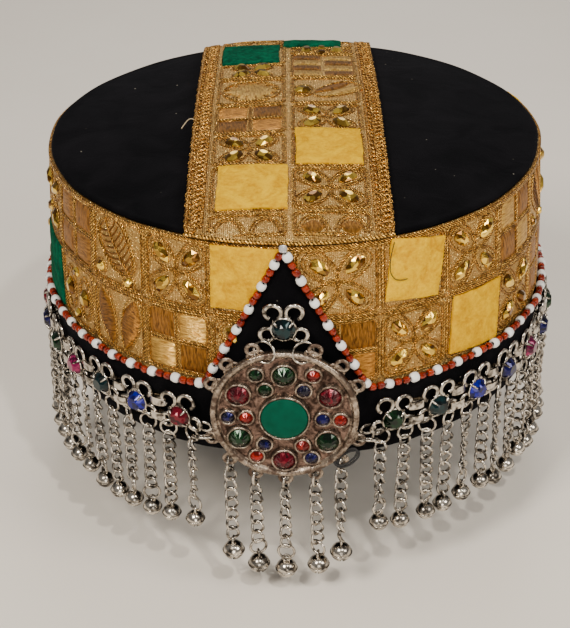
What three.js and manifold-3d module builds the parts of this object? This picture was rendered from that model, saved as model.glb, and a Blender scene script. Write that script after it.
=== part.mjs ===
// An embroidered pillbox cap: a domed black velvet crown and wall, patchwork gold trim round the side
// and over the crown, a black velvet brow band with a front peak, a jewelled medallion, and a chain of
// clover motifs with bell drops.
// Millimetres, +Z up, -Y is the front. The origin is on the cap's axis, just under the level of the
// crown's edge.

import * as THREE from 'three';
import { mergeVertices } from 'three/addons/utils/BufferGeometryUtils.js';
import Module from 'manifold-3d';

const wasm = await Module();
wasm.setup();

// Cap shell: the wall's outer radius at each height, and the cloth's thickness.
const WALL_TABLE = [
  { z: 2.0, r: 87.2 },
  { z: 0.5, r: 88.2 },
  { z: -27.0, r: 90.0 },
  { z: -53.0, r: 90.8 },
  { z: -81.0, r: 88.4 },
];
const CLOTH = 2.0;
const HEM_Z = -81.0;
const CROWN_EDGE_Z = 2.0;
const CROWN_EDGE_R = 87.2;
const CROWN_RISE = 7.0;
const CROWN_RADII = [60, 31, 0];
const UNDER_FLAT_R = 20;
const UNDER_EDGE_R = 82;
const UNDER_EDGE_Z = -2.5;
const ROUND_STEPS = 40;

// Layers on the cloth, as heights above the shell's outside.
const LAYER_GAP = 0.5;
const TRIM_THICK = 1.2;
const TRIM_TOP_Z = 0.5;
const TRIM_MIDDLE_Z = -27.0;
const TRIM_BOTTOM_Z = -55.5;
const PATCH_GAP = 0.4;
const PATCH_THICK = 0.9;

// Gold trim over the crown, with a braid along each long edge.
const CROWN_TRIM_X = -2.5;
const CROWN_TRIM_HALF = 28.0;
const BRAID_WIDE = 5.8;
const BRAID_GAP = 0.3;
const BRAID_THICK = 1.8;
const CROWN_TRIM_END_R = 86.9;
const CROWN_STRIP_STEPS = 10;

// Velvet brow band and its front peak.
const FRONT_DEG = -2.8;
const BAND_TOP_Z = -53.0;
const BAND_THICK = 1.5;
const BAND_LIFT = 2.2;
const BAND_HEM_LIFT = 1.1;
const PEAK_APEX_Z = -1.5;
const PEAK_HALF_DEG = 16.6;
const PEAK_GAP_DEG = 0.7;
const PEAK_STEPS = 8;
const BACK_STEPS = 32;

// Medallion: a round plate with a raised rim, set stones, and small ring ears round its edge.
const MEDALLION_R = 25.0;
const MEDALLION_Z = -59.0;
const MEDALLION_BACK = 96.2;
const MEDALLION_SIDES = 24;
const PLATE_THICK = 1.6;
const PLATE_DOME = 0.8;
const RIM_WIDE = 2.0;
const RIM_RISE = 1.2;
const EAR_R = 2.5;
const EAR_HOLE_R = 1.25;
const EAR_OUT = 1.9;
const EAR_THICK = 1.1;
const EAR_SIDES = 7;
const EAR_ANGLES = [22.5, 45, 65, 113, 135, 157.5, 180, 202.5, 225, 247, 295, 315, 337.5];
const DROP_EARS = [135, 157.5, 180, 202.5, 225];
const CABOCHON_R = 8.0;
const CABOCHON_SIDE_HIGH = 0.9;
const CABOCHON_HIGH = 1.7;
const CABOCHON_BEVEL = 1.2;
const CABOCHON_SIDES = 16;
const BEZEL_WALL = 0.7;
const BEZEL_RISE = 1.5;
const BEZEL_FOOT = 0.5;
const BOSS_RISE = 0.7;
const SETTING_GAP = 0.3;
const LARGE_STONE_R = 3.4;
const LARGE_STONE_SIDES = 10;
const SMALL_STONE_R = 2.0;
const SMALL_STONE_SIDES = 8;

// A cut stone's girdle, table radius and height, as shares of its radius.
const STONE_GIRDLE = 0.1;
const STONE_TABLE = 0.55;
const STONE_CROWN = 0.5;

// Clover on the peak: four wire loops about one set stone, and two jump rings to the medallion.
const CLOVER_Z = -26.5;
const CLOVER_BACK = 94.4;
const CLOVER_WIRE_R = 0.8;
const CLOVER_LOOP_R = 3.2;
const CLOVER_LOOPS = [
  { x: 4.7, z: 5.6 },
  { x: -4.7, z: 5.6 },
  { x: 5.6, z: -2.4 },
  { x: -5.6, z: -2.4 },
];
const CLOVER_STONE_R = 3.6;
const CLOVER_CUP_R = 4.0;
const CLOVER_CUP_HIGH = 2.2;
const JUMP_HALF_DEEP = 1.9;
const JUMP_FORWARD = 0.3;
const JUMP_WIRE_R = 0.45;

// Side chain of clover motifs, and the bell drops that hang from it.
const MOTIF_COUNT = 31;
const MOTIFS_ON_RIGHT = 16;
const MOTIF_FIRST_DEG = 22.5;
const MOTIF_PITCH_DEG = (360 - 2 * MOTIF_FIRST_DEG) / (MOTIF_COUNT - 1);
const MOTIF_HALF_DEG = 3.6;
const CHAIN_Z = -66.0;
const CHAIN_R = 95.6;
const CHAIN_HALF_HIGH = 5.6;
const CHAIN_NECK_HALF_HIGH = 4.4;
const CHAIN_HALF_THICK = 1.4;
const DROP_TUBE_R = 1.25;
const TUBE_SIDES = 5;
const DROP_HALF_STEP_DEG = 2.6;
const DROP_BELL_Z = -109.0;
const END_EAR_DEG = 113;
const END_LUG = { wide: 3.0, deep: 5.0, high: 3.0, pastRing: 1.2 };

// Medallion drops: a ring through the ear, a chain drawn as a tube, and a bell.
const DROP_RING_R = 2.8;
const DROP_WIRE_R = 0.6;
const DROP_LONG = 40.0;
const BELL_R = 3.8;
const BELL_HALF_HIGH = 3.6;
const BELL_TABLE = [
  { r: 0.0, z: -BELL_HALF_HIGH },
  { r: 3.0, z: -2.6 },
  { r: BELL_R, z: 0.0 },
  { r: 3.0, z: 2.6 },
  { r: 0.0, z: BELL_HALF_HIGH },
];
const SIDE_BELL_TABLE = [
  { r: 0.0, z: -BELL_HALF_HIGH },
  { r: 3.6, z: -1.4 },
  { r: 3.6, z: 1.4 },
  { r: 0.0, z: BELL_HALF_HIGH },
];
const BELL_SIDES = 10;
const SIDE_BELL_SIDES = 8;
const RING_STEPS = 10;
const WIRE_SIDES = 5;

const rad = THREE.MathUtils.degToRad;

const FINISHES = {
  blackVelvet: { color: 0x0b0a0d, roughness: 0.95, metalness: 0.0 },
  goldTrim: { color: 0xa8803c, roughness: 0.5, metalness: 0.55 },
  goldBraid: { color: 0x9a6a2c, roughness: 0.5, metalness: 0.5 },
  yellowVelvet: { color: 0xf2c400, roughness: 0.85, metalness: 0.0 },
  greenVelvet: { color: 0x0b5a3a, roughness: 0.85, metalness: 0.0 },
  oldSilver: { color: 0x8a7a70, roughness: 0.35, metalness: 1.0 },
  brightSteel: { color: 0xb8b4ae, roughness: 0.25, metalness: 1.0 },
  greenGlass: { color: 0x0a6b45, roughness: 0.1, metalness: 0.0 },
  redGlass: { color: 0x9a0c2c, roughness: 0.1, metalness: 0.0 },
  blueGlass: { color: 0x1c2a8c, roughness: 0.1, metalness: 0.0 },
};

const cap = new THREE.Group();

function addPiece(name, geometry, finish) {
  const mesh = new THREE.Mesh(geometry, new THREE.MeshStandardMaterial(FINISHES[finish]));
  mesh.name = name;
  cap.add(mesh);
  return mesh;
}

// Joins and cuts.

function toSolid(geometry) {
  const bare = geometry.clone();
  for (const attribute of ['normal', 'uv']) {
    bare.deleteAttribute(attribute);
  }
  const merged = mergeVertices(bare, 1e-4);
  return new wasm.Manifold(new wasm.Mesh({
    numProp: 3,
    vertProperties: new Float32Array(merged.attributes.position.array),
    triVerts: new Uint32Array(merged.index.array),
  }));
}

function toGeometry(solid) {
  const mesh = solid.getMesh();
  const geometry = new THREE.BufferGeometry();
  geometry.setAttribute('position', new THREE.BufferAttribute(mesh.vertProperties, 3));
  geometry.setIndex(new THREE.BufferAttribute(mesh.triVerts, 1));
  return geometry;
}

// Joins solids. A tiny pocket sealed where wires cross is filled.
function join(solids) {
  const whole = solids.reduce((sum, next) => sum.add(next));
  const bodies = whole.decompose().filter((body) => body.volume() > 0);
  return wasm.Manifold.compose(bodies);
}

// Places on the cap.

function interpolate(table, z, key) {
  for (let i = 0; i < table.length - 1; i += 1) {
    const [high, low] = [table[i], table[i + 1]];
    if (z >= low.z || i === table.length - 2) {
      const share = (z - low.z) / (high.z - low.z);
      return low[key] + share * (high[key] - low[key]);
    }
  }
  return table[0][key];
}

function onWall(degrees, z, lift) {
  const r = interpolate(WALL_TABLE, z, 'r') + lift;
  return new THREE.Vector3(r * Math.sin(rad(degrees)), -r * Math.cos(rad(degrees)), z);
}

function crownHeight(x, y) {
  return CROWN_EDGE_Z + CROWN_RISE * (1 - (x * x + y * y) / CROWN_EDGE_R ** 2);
}

// A sheet with thickness: place(u, v, side) gives the inner (0) and outer (1) face.
function skin(columns, rows, place, closed = false) {
  const points = [];
  for (const side of [0, 1]) {
    for (const u of columns) {
      for (const v of rows) {
        points.push(...place(u, v, side).toArray());
      }
    }
  }
  const wide = columns.length;
  const high = rows.length;
  const at = (i, j, side) => (side * wide + (i % wide)) * high + j;
  const faces = [];
  const quad = (a, b, c, d) => faces.push(a, b, c, a, c, d);
  const lastColumn = closed ? wide : wide - 1;
  for (let i = 0; i < lastColumn; i += 1) {
    for (let j = 0; j < high - 1; j += 1) {
      quad(at(i, j, 1), at(i + 1, j, 1), at(i + 1, j + 1, 1), at(i, j + 1, 1));
      quad(at(i, j + 1, 0), at(i + 1, j + 1, 0), at(i + 1, j, 0), at(i, j, 0));
    }
    const top = high - 1;
    quad(at(i, 0, 1), at(i, 0, 0), at(i + 1, 0, 0), at(i + 1, 0, 1));
    quad(at(i, top, 1), at(i + 1, top, 1), at(i + 1, top, 0), at(i, top, 0));
  }
  if (!closed) {
    for (let j = 0; j < high - 1; j += 1) {
      quad(at(0, j, 1), at(0, j + 1, 1), at(0, j + 1, 0), at(0, j, 0));
      const end = wide - 1;
      quad(at(end, j, 1), at(end, j, 0), at(end, j + 1, 0), at(end, j + 1, 1));
    }
  }
  const geometry = new THREE.BufferGeometry();
  geometry.setAttribute('position', new THREE.BufferAttribute(new Float32Array(points), 3));
  geometry.setIndex(faces);
  return geometry;
}

function spread(from, to, count) {
  return Array.from({ length: count + 1 }, (_, i) => from + (to - from) * i / count);
}

function roundColumns() {
  return spread(0, 360, ROUND_STEPS).slice(0, ROUND_STEPS);
}

// Cap shell: crown and wall in one, open below.
function capShell() {
  const outer = WALL_TABLE.map(({ r, z }) => new THREE.Vector2(r, z)).reverse();
  const crown = CROWN_RADII.map((r) => new THREE.Vector2(r, crownHeight(r, 0)));
  const flatZ = crownHeight(UNDER_FLAT_R, 0) - CLOTH;
  const under = [
    new THREE.Vector2(0, flatZ),
    new THREE.Vector2(UNDER_FLAT_R, flatZ),
    new THREE.Vector2(UNDER_EDGE_R, crownHeight(UNDER_EDGE_R, 0) - CLOTH),
  ];
  const innerZ = [UNDER_EDGE_Z, ...WALL_TABLE.slice(2).map(({ z }) => z)];
  const inner = innerZ.map((z) => new THREE.Vector2(interpolate(WALL_TABLE, z, 'r') - CLOTH, z));
  const profile = [...outer, ...crown, ...under, ...inner, outer[0].clone()];
  return new THREE.LatheGeometry(profile, ROUND_STEPS).rotateX(Math.PI / 2);
}

// Gold trim round the side.
function sideTrim() {
  const rows = [TRIM_BOTTOM_Z, TRIM_MIDDLE_Z, TRIM_TOP_Z];
  const lifts = [LAYER_GAP, LAYER_GAP + TRIM_THICK];
  return skin(roundColumns(), rows, (u, v, side) => onWall(u, v, lifts[side]), true);
}

// A strip along Y on the crown, with its ends cut to the crown's round edge.
function crownStrip(xLow, xHigh, low, high, across = 1) {
  const rows = spread(-1, 1, CROWN_STRIP_STEPS);
  return skin(spread(xLow, xHigh, across), rows, (x, v, side) => {
    const y = v * Math.sqrt(CROWN_TRIM_END_R ** 2 - x * x);
    return new THREE.Vector3(x, y, crownHeight(x, y) + (side ? high : low));
  });
}

// Velvet brow band with the front peak.
function peakTop(degrees) {
  const away = Math.abs(degrees - FRONT_DEG);
  const share = Math.max(0, 1 - away / PEAK_HALF_DEG);
  return BAND_TOP_Z + share * (PEAK_APEX_Z - BAND_TOP_Z);
}

function bandLift(z) {
  const share = Math.min(1, (z - HEM_Z) / (TRIM_BOTTOM_Z - HEM_Z));
  return BAND_HEM_LIFT + share * (BAND_LIFT - BAND_HEM_LIFT);
}

function velvetBand() {
  const peakColumns = spread(FRONT_DEG - PEAK_HALF_DEG, FRONT_DEG + PEAK_HALF_DEG, PEAK_STEPS);
  const backColumns = spread(FRONT_DEG + PEAK_HALF_DEG, FRONT_DEG - PEAK_HALF_DEG + 360, BACK_STEPS);
  const columns = [...peakColumns, ...backColumns.slice(1, -1)];
  const seam = TRIM_BOTTOM_Z - 1;
  const place = (u, v, side) => {
    const z = v <= 1 ? HEM_Z + v * (seam - HEM_Z) : seam + (v - 1) * (peakTop(u) - seam);
    return onWall(u, z, bandLift(z) + side * BAND_THICK);
  };
  return skin(columns, [0, 1, 1.5, 2], place, true);
}

// Velvet patches sewn in the trim: side ones by angle and height, crown ones by middle and size.
const SIDE_PATCHES = [
  { name: 'yellow_patch_side_1', finish: 'yellowVelvet', from: -18.0, to: -3.5, low: -24.3, high: 0.3 },
  { name: 'yellow_patch_side_2', finish: 'yellowVelvet', from: 17.5, to: 32.2, low: -24.3, high: 0.3 },
  { name: 'yellow_patch_side_3', finish: 'yellowVelvet', from: 34.5, to: 49.5, low: -50.8, high: -26.2 },
  { name: 'yellow_patch_side_4', finish: 'yellowVelvet', from: 98.5, to: 113.5, low: -24.3, high: 0.3 },
  { name: 'yellow_patch_side_5', finish: 'yellowVelvet', from: 197.0, to: 212.0, low: -24.3, high: 0.3 },
  { name: 'yellow_patch_side_6', finish: 'yellowVelvet', from: 246.0, to: 261.0, low: -50.8, high: -26.2 },
  { name: 'green_patch_side_1', finish: 'greenVelvet', from: -81.0, to: -66.5, low: -50.8, high: -26.2 },
  { name: 'green_patch_side_2', finish: 'greenVelvet', from: 148.0, to: 163.0, low: -50.8, high: -26.2 },
];
const CROWN_PATCHES = [
  { name: 'yellow_patch_crown_1', finish: 'yellowVelvet', x: -14.6, y: -60.5, wide: 23.6, long: 26.5 },
  { name: 'yellow_patch_crown_2', finish: 'yellowVelvet', x: 11.7, y: -33.6, wide: 23.0, long: 25.0 },
  { name: 'green_patch_crown_1', finish: 'greenVelvet', x: -17.0, y: 61.5, wide: 22.6, long: 27.0 },
  { name: 'green_patch_crown_2', finish: 'greenVelvet', x: 7.8, y: 77.6, wide: 23.4, long: 9.0 },
];
const PATCH_BASE = LAYER_GAP + TRIM_THICK + PATCH_GAP;

// The left edge of the peak at a height, less a gap: a patch that meets the peak is cut along it.
function peakLeftEdge(z) {
  const share = Math.min(1, (z - BAND_TOP_Z) / (PEAK_APEX_Z - BAND_TOP_Z));
  return FRONT_DEG - PEAK_HALF_DEG * (1 - share) - PEAK_GAP_DEG;
}

function sidePatch({ from, to, low, high }) {
  return skin(spread(0, 1, 3), [low, high], (u, v, side) => {
    const end = from < FRONT_DEG ? Math.min(to, peakLeftEdge(v)) : to;
    return onWall(from + u * (end - from), v, PATCH_BASE + side * PATCH_THICK);
  });
}

function crownPatch({ x, y, wide, long }) {
  const rows = spread(y - long / 2, y + long / 2, 2);
  return skin([x - wide / 2, x + wide / 2], rows, (u, v, side) => (
    new THREE.Vector3(u, v, crownHeight(u, v) + PATCH_BASE + side * PATCH_THICK)
  ));
}

// Metal forms. Each is made about its own middle, facing -Y, with +Z up.

// A lathe about the facing axis: from [radius, height towards the viewer] pairs.
function turnedForm(pairs, sides) {
  const profile = pairs.map(([r, out]) => new THREE.Vector2(r, out));
  return new THREE.LatheGeometry(profile, sides).rotateX(Math.PI);
}

// A closed wire hoop in the X-Z plane.
function hoop(halfWide, halfLong, wireR) {
  const points = [];
  const faces = [];
  const at = (i, j) => (i % RING_STEPS) * WIRE_SIDES + (j % WIRE_SIDES);
  for (let i = 0; i < RING_STEPS; i += 1) {
    const t = 2 * Math.PI * (i + 0.5) / RING_STEPS;
    const middle = new THREE.Vector3(halfWide * Math.cos(t), 0, halfLong * Math.sin(t));
    const out = new THREE.Vector3(halfLong * Math.cos(t), 0, halfWide * Math.sin(t)).normalize();
    for (let j = 0; j < WIRE_SIDES; j += 1) {
      const turn = 2 * Math.PI * j / WIRE_SIDES;
      const point = middle.clone().addScaledVector(out, wireR * Math.cos(turn));
      point.y += wireR * Math.sin(turn);
      points.push(...point.toArray());
      faces.push(at(i, j), at(i, j + 1), at(i + 1, j + 1));
      faces.push(at(i, j), at(i + 1, j + 1), at(i + 1, j));
    }
  }
  const geometry = new THREE.BufferGeometry();
  geometry.setAttribute('position', new THREE.BufferAttribute(new Float32Array(points), 3));
  geometry.setIndex(faces);
  return geometry;
}

// A bell about +Z, hung on a straight tube that reaches up to a height.
function hungBell(table, sides, bellZ, tubeTop) {
  const profile = table.map(({ r, z }) => new THREE.Vector2(r, z));
  const bell = new THREE.LatheGeometry(profile, sides).rotateX(Math.PI / 2).translate(0, 0, bellZ);
  const long = tubeTop - bellZ - BELL_HALF_HIGH / 2;
  const tube = new THREE.CylinderGeometry(DROP_TUBE_R, DROP_TUBE_R, long, TUBE_SIDES);
  tube.rotateX(Math.PI / 2).translate(0, 0, tubeTop - long / 2);
  return toSolid(tube).add(toSolid(bell));
}

// Moves a form to the wall: at an angle round the cap, a distance from its axis, and a height.
function toWall(geometry, degrees, r, z) {
  return geometry
    .rotateZ(rad(degrees))
    .translate(r * Math.sin(rad(degrees)), -r * Math.cos(rad(degrees)), z);
}

function clock(degrees, out) {
  return { x: out * Math.sin(rad(degrees)), z: out * Math.cos(rad(degrees)) };
}

// Medallion and its stones. Stones go by clock angle from the top and distance from the middle.
const LARGE_STONES = [
  { at: 0, out: 16.4, finish: 'greenGlass' },
  { at: 62, out: 17.3, finish: 'redGlass' },
  { at: 124, out: 17.5, finish: 'greenGlass' },
  { at: 181, out: 17.8, finish: 'redGlass' },
  { at: 240, out: 17.6, finish: 'greenGlass' },
  { at: 299, out: 17.5, finish: 'redGlass' },
];
const SMALL_STONES = [
  { at: 31, out: 18.9, finish: 'redGlass' },
  { at: 32, out: 12.3, finish: 'blueGlass' },
  { at: 94, out: 12.9, finish: 'blueGlass' },
  { at: 94, out: 18.9, finish: 'redGlass' },
  { at: 153, out: 13.3, finish: 'redGlass' },
  { at: 152, out: 19.2, finish: 'blueGlass' },
  { at: 210, out: 19.2, finish: 'redGlass' },
  { at: 211, out: 13.3, finish: 'blueGlass' },
  { at: 267, out: 12.9, finish: 'redGlass' },
  { at: 268, out: 19.0, finish: 'blueGlass' },
  { at: 330, out: 18.7, finish: 'greenGlass' },
  { at: 329, out: 12.3, finish: 'greenGlass' },
];
const STONE_SEAT = PLATE_THICK + PLATE_DOME;

function placed(solid, { x, z }, out = 0) {
  return solid.translate(x, -out, z);
}

// A bezel: a wall round the stone that stands on the plate.
function bezelRing(stoneR, sides) {
  const inner = stoneR + SETTING_GAP;
  const outer = inner + BEZEL_WALL;
  const top = STONE_SEAT + BEZEL_RISE;
  return turnedForm([
    [inner, BEZEL_FOOT],
    [outer, BEZEL_FOOT],
    [outer, top],
    [inner, top],
    [inner, BEZEL_FOOT],
  ], sides);
}

function bezelBoss(stoneR, sides) {
  const outer = stoneR + BEZEL_WALL;
  const top = STONE_SEAT + BOSS_RISE;
  return turnedForm([[0, BEZEL_FOOT], [outer, BEZEL_FOOT], [outer, top], [0, top]], sides);
}

function medallionEar(degrees) {
  const ring = turnedForm([
    [EAR_HOLE_R, 0],
    [EAR_R, 0],
    [EAR_R, EAR_THICK],
    [EAR_HOLE_R, EAR_THICK],
    [EAR_HOLE_R, 0],
  ], EAR_SIDES);
  return placed(toSolid(ring), clock(degrees, MEDALLION_R + EAR_OUT));
}

function medallion() {
  const face = PLATE_THICK;
  const plate = toSolid(turnedForm([
    [0, 0],
    [MEDALLION_R, 0],
    [MEDALLION_R, face + RIM_RISE],
    [MEDALLION_R - RIM_WIDE, face + RIM_RISE],
    [MEDALLION_R - RIM_WIDE, face],
    [0, face + PLATE_DOME],
  ], MEDALLION_SIDES));
  const bosses = SMALL_STONES.map((stone) => (
    placed(toSolid(bezelBoss(SMALL_STONE_R, SMALL_STONE_SIDES)), clock(stone.at, stone.out))
  ));
  const bezels = LARGE_STONES.map((stone) => (
    placed(toSolid(bezelRing(LARGE_STONE_R, LARGE_STONE_SIDES)), clock(stone.at, stone.out))
  ));
  const middle = toSolid(bezelRing(CABOCHON_R, CABOCHON_SIDES));
  return join([plate, ...EAR_ANGLES.map(medallionEar), ...bosses, ...bezels, middle]);
}

// A cut stone: a girdle, a ring of facets and a table.
function cutStone(r, sides) {
  const base = -r * STONE_GIRDLE;
  const top = r * STONE_CROWN;
  return turnedForm([[0, base], [r, base], [r * STONE_TABLE, top], [0, top]], sides);
}

function toMedallion(solid) {
  return toWall(toGeometry(solid), FRONT_DEG, MEDALLION_BACK, MEDALLION_Z);
}

function addMedallion() {
  addPiece('medallion', toMedallion(medallion()), 'oldSilver');
  const cabochon = toSolid(turnedForm([
    [0, 0],
    [CABOCHON_R, 0],
    [CABOCHON_R, CABOCHON_SIDE_HIGH],
    [CABOCHON_R - CABOCHON_BEVEL, CABOCHON_HIGH],
    [0, CABOCHON_HIGH],
  ], CABOCHON_SIDES));
  const seated = placed(cabochon, { x: 0, z: 0 }, STONE_SEAT + SETTING_GAP);
  addPiece('stone_middle', toMedallion(seated), 'greenGlass');
  LARGE_STONES.forEach(({ at, out, finish }, i) => {
    const lift = STONE_SEAT + SETTING_GAP + LARGE_STONE_R * STONE_GIRDLE;
    const stone = placed(toSolid(cutStone(LARGE_STONE_R, LARGE_STONE_SIDES)), clock(at, out), lift);
    addPiece(`stone_large_${i + 1}`, toMedallion(stone), finish);
  });
  SMALL_STONES.forEach(({ at, out, finish }, i) => {
    const lift = STONE_SEAT + BOSS_RISE + SETTING_GAP + SMALL_STONE_R * STONE_GIRDLE;
    const stone = placed(toSolid(cutStone(SMALL_STONE_R, SMALL_STONE_SIDES)), clock(at, out), lift);
    addPiece(`stone_small_${i + 1}`, toMedallion(stone), finish);
  });
}

// A jump ring from an ear of the medallion up to a lower loop of the clover, in the clover's frame.
function jumpRing(side) {
  const ear = clock(EAR_ANGLES[0], MEDALLION_R + EAR_OUT);
  const earOut = MEDALLION_BACK + EAR_THICK / 2 + JUMP_FORWARD - CLOVER_BACK;
  const earAt = new THREE.Vector3(side * ear.x, -earOut, MEDALLION_Z + ear.z - CLOVER_Z);
  const loopAt = new THREE.Vector3(side * CLOVER_LOOPS[2].x, -CLOVER_WIRE_R, CLOVER_LOOPS[2].z);
  const along = loopAt.clone().sub(earAt);
  const halfLong = along.length() / 2;
  along.normalize();
  const deep = new THREE.Vector3(0, -1, 0).addScaledVector(along, along.y).normalize();
  const across = along.clone().cross(deep);
  const ring = hoop(JUMP_HALF_DEEP, halfLong, JUMP_WIRE_R);
  ring.applyMatrix4(new THREE.Matrix4().makeBasis(deep, across, along));
  const middle = earAt.add(loopAt).multiplyScalar(0.5);
  return toSolid(ring.translate(middle.x, middle.y, middle.z));
}

// Clover on the peak: four loops and a stone set in a cup, with its two jump rings.
function peakClover() {
  const loops = CLOVER_LOOPS.map(({ x, z }) => (
    toSolid(hoop(CLOVER_LOOP_R, CLOVER_LOOP_R, CLOVER_WIRE_R).translate(x, -CLOVER_WIRE_R, z))
  ));
  const cup = toSolid(turnedForm([
    [0, 0],
    [CLOVER_CUP_R, 0],
    [CLOVER_CUP_R, CLOVER_CUP_HIGH],
    [0, CLOVER_CUP_HIGH],
  ], LARGE_STONE_SIDES));
  const stone = toSolid(cutStone(CLOVER_STONE_R, LARGE_STONE_SIDES));
  const set = placed(stone, { x: 0, z: 0 }, CLOVER_CUP_HIGH);
  return join([cup, set, ...loops, jumpRing(-1), jumpRing(1)]);
}

function addClover() {
  const clover = toGeometry(peakClover());
  addPiece('peak_clover', toWall(clover, FRONT_DEG, CLOVER_BACK, CLOVER_Z), 'brightSteel');
}

// A medallion drop: its ring stands through an ear's hole, and the chain and bell hang below.
function medallionDrop() {
  const ring = hoop(DROP_RING_R, DROP_RING_R, DROP_WIRE_R).rotateZ(Math.PI / 2);
  const hung = hungBell(BELL_TABLE, BELL_SIDES, -DROP_LONG, DROP_WIRE_R - 2 * DROP_RING_R);
  return join([toSolid(ring.translate(0, 0, -DROP_RING_R)), hung]);
}

function addMedallionDrops() {
  [...DROP_EARS].reverse().forEach((degrees, i) => {
    const ear = clock(degrees, MEDALLION_R + EAR_OUT);
    const drop = medallionDrop().translate(ear.x, -EAR_THICK / 2, ear.z);
    addPiece(`medallion_drop_${i + 1}`, toMedallion(drop), 'brightSteel');
  });
}

// Side chain: a belt of motifs with a narrower neck between them, and two bell drops from each.
function motifDegrees(i) {
  return FRONT_DEG + MOTIF_FIRST_DEG + i * MOTIF_PITCH_DEG;
}

function chainBelt(first, last) {
  const columns = [];
  for (let i = first; i <= last; i += 1) {
    columns.push({ at: motifDegrees(i) - MOTIF_HALF_DEG, high: CHAIN_HALF_HIGH });
    columns.push({ at: motifDegrees(i) + MOTIF_HALF_DEG, high: CHAIN_HALF_HIGH });
    if (i < last) {
      columns.push({ at: motifDegrees(i + 0.5), high: CHAIN_NECK_HALF_HIGH });
    }
  }
  return skin(columns, [-1, 1], ({ at, high }, v, side) => {
    const r = CHAIN_R + (side ? CHAIN_HALF_THICK : -CHAIN_HALF_THICK);
    return new THREE.Vector3(r * Math.sin(rad(at)), -r * Math.cos(rad(at)), CHAIN_Z + v * high);
  });
}

function sideDrop(degrees) {
  const tubeTop = CHAIN_Z - CHAIN_HALF_HIGH + DROP_TUBE_R;
  const whole = hungBell(SIDE_BELL_TABLE, SIDE_BELL_SIDES, DROP_BELL_Z, tubeTop);
  return toSolid(toWall(toGeometry(whole), degrees, CHAIN_R, 0));
}

// The chain's end: a lug on the belt, with a ring through the medallion's side ear.
function chainEnd(side) {
  const ear = clock(END_EAR_DEG, MEDALLION_R + EAR_OUT);
  const plane = MEDALLION_BACK + EAR_THICK / 2;
  const z = MEDALLION_Z + ear.z;
  const ring = hoop(DROP_RING_R, DROP_RING_R, DROP_WIRE_R).rotateX(Math.PI / 2);
  ring.translate(side * (ear.x + DROP_RING_R), -plane, z);
  const lug = new THREE.BoxGeometry(END_LUG.wide, END_LUG.deep, END_LUG.high);
  lug.translate(side * (ear.x + 2 * DROP_RING_R + END_LUG.pastRing), -plane + END_LUG.deep / 2, z);
  return toSolid(ring.rotateZ(rad(FRONT_DEG))).add(toSolid(lug.rotateZ(rad(FRONT_DEG))));
}

function sideChain(first, last, endSide) {
  const solids = [toSolid(chainBelt(first, last)), chainEnd(endSide)];
  for (let i = first; i <= last; i += 1) {
    solids.push(sideDrop(motifDegrees(i) - DROP_HALF_STEP_DEG));
    solids.push(sideDrop(motifDegrees(i) + DROP_HALF_STEP_DEG));
  }
  return toGeometry(join(solids));
}

addPiece('cap_shell', capShell(), 'blackVelvet');
addPiece('side_trim', sideTrim(), 'goldTrim');
const trimLow = CROWN_TRIM_X - CROWN_TRIM_HALF;
const trimHigh = CROWN_TRIM_X + CROWN_TRIM_HALF;
const braidTop = LAYER_GAP + BRAID_THICK;
addPiece('crown_trim', crownStrip(trimLow, trimHigh, LAYER_GAP, LAYER_GAP + TRIM_THICK, 3), 'goldTrim');
const braidLow = trimLow - BRAID_GAP - BRAID_WIDE;
addPiece('crown_braid_left', crownStrip(braidLow, trimLow - BRAID_GAP, LAYER_GAP, braidTop), 'goldBraid');
const braidHigh = trimHigh + BRAID_GAP + BRAID_WIDE;
addPiece('crown_braid_right', crownStrip(trimHigh + BRAID_GAP, braidHigh, LAYER_GAP, braidTop), 'goldBraid');
addPiece('velvet_band', velvetBand(), 'blackVelvet');
SIDE_PATCHES.forEach((patch) => addPiece(patch.name, sidePatch(patch), patch.finish));
CROWN_PATCHES.forEach((patch) => addPiece(patch.name, crownPatch(patch), patch.finish));
addMedallion();
addClover();
addMedallionDrops();
addPiece('side_chain_right', sideChain(0, MOTIFS_ON_RIGHT - 1, 1), 'brightSteel');
addPiece('side_chain_left', sideChain(MOTIFS_ON_RIGHT, MOTIF_COUNT - 1, -1), 'brightSteel');

export default cap;
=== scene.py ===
"""An embroidered pillbox cap: velvet crown and band, patchwork gold trim, jewelled medallion and bell chains.

Sizes are in millimetres, in the frame's own axes: +Z up, -Y the front. Form turns them into metres.
"""

import logging
import math
import random
from dataclasses import dataclass, field
from enum import Enum
from typing import Callable, Iterable, Optional, Sequence

import bmesh
import bpy
import numpy as np
from mathutils import Matrix, Vector


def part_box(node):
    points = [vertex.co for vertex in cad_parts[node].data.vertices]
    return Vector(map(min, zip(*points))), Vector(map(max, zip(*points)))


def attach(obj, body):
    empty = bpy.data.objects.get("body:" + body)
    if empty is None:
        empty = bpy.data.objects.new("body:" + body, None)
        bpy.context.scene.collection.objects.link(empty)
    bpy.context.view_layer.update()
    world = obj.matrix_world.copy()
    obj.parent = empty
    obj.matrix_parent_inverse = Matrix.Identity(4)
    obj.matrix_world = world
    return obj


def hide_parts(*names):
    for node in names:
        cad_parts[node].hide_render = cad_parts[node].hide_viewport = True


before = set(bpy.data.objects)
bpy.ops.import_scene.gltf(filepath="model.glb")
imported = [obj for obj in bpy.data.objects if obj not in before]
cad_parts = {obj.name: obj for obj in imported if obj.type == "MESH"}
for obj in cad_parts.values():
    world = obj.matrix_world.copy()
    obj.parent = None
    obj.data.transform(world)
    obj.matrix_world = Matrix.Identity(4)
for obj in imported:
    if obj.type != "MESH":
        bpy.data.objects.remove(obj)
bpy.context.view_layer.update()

Array = np.ndarray
Colour = tuple[float, float, float]
Pair = tuple[float, float]
Places = Callable[[Array, Array, Array], Array]

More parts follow.
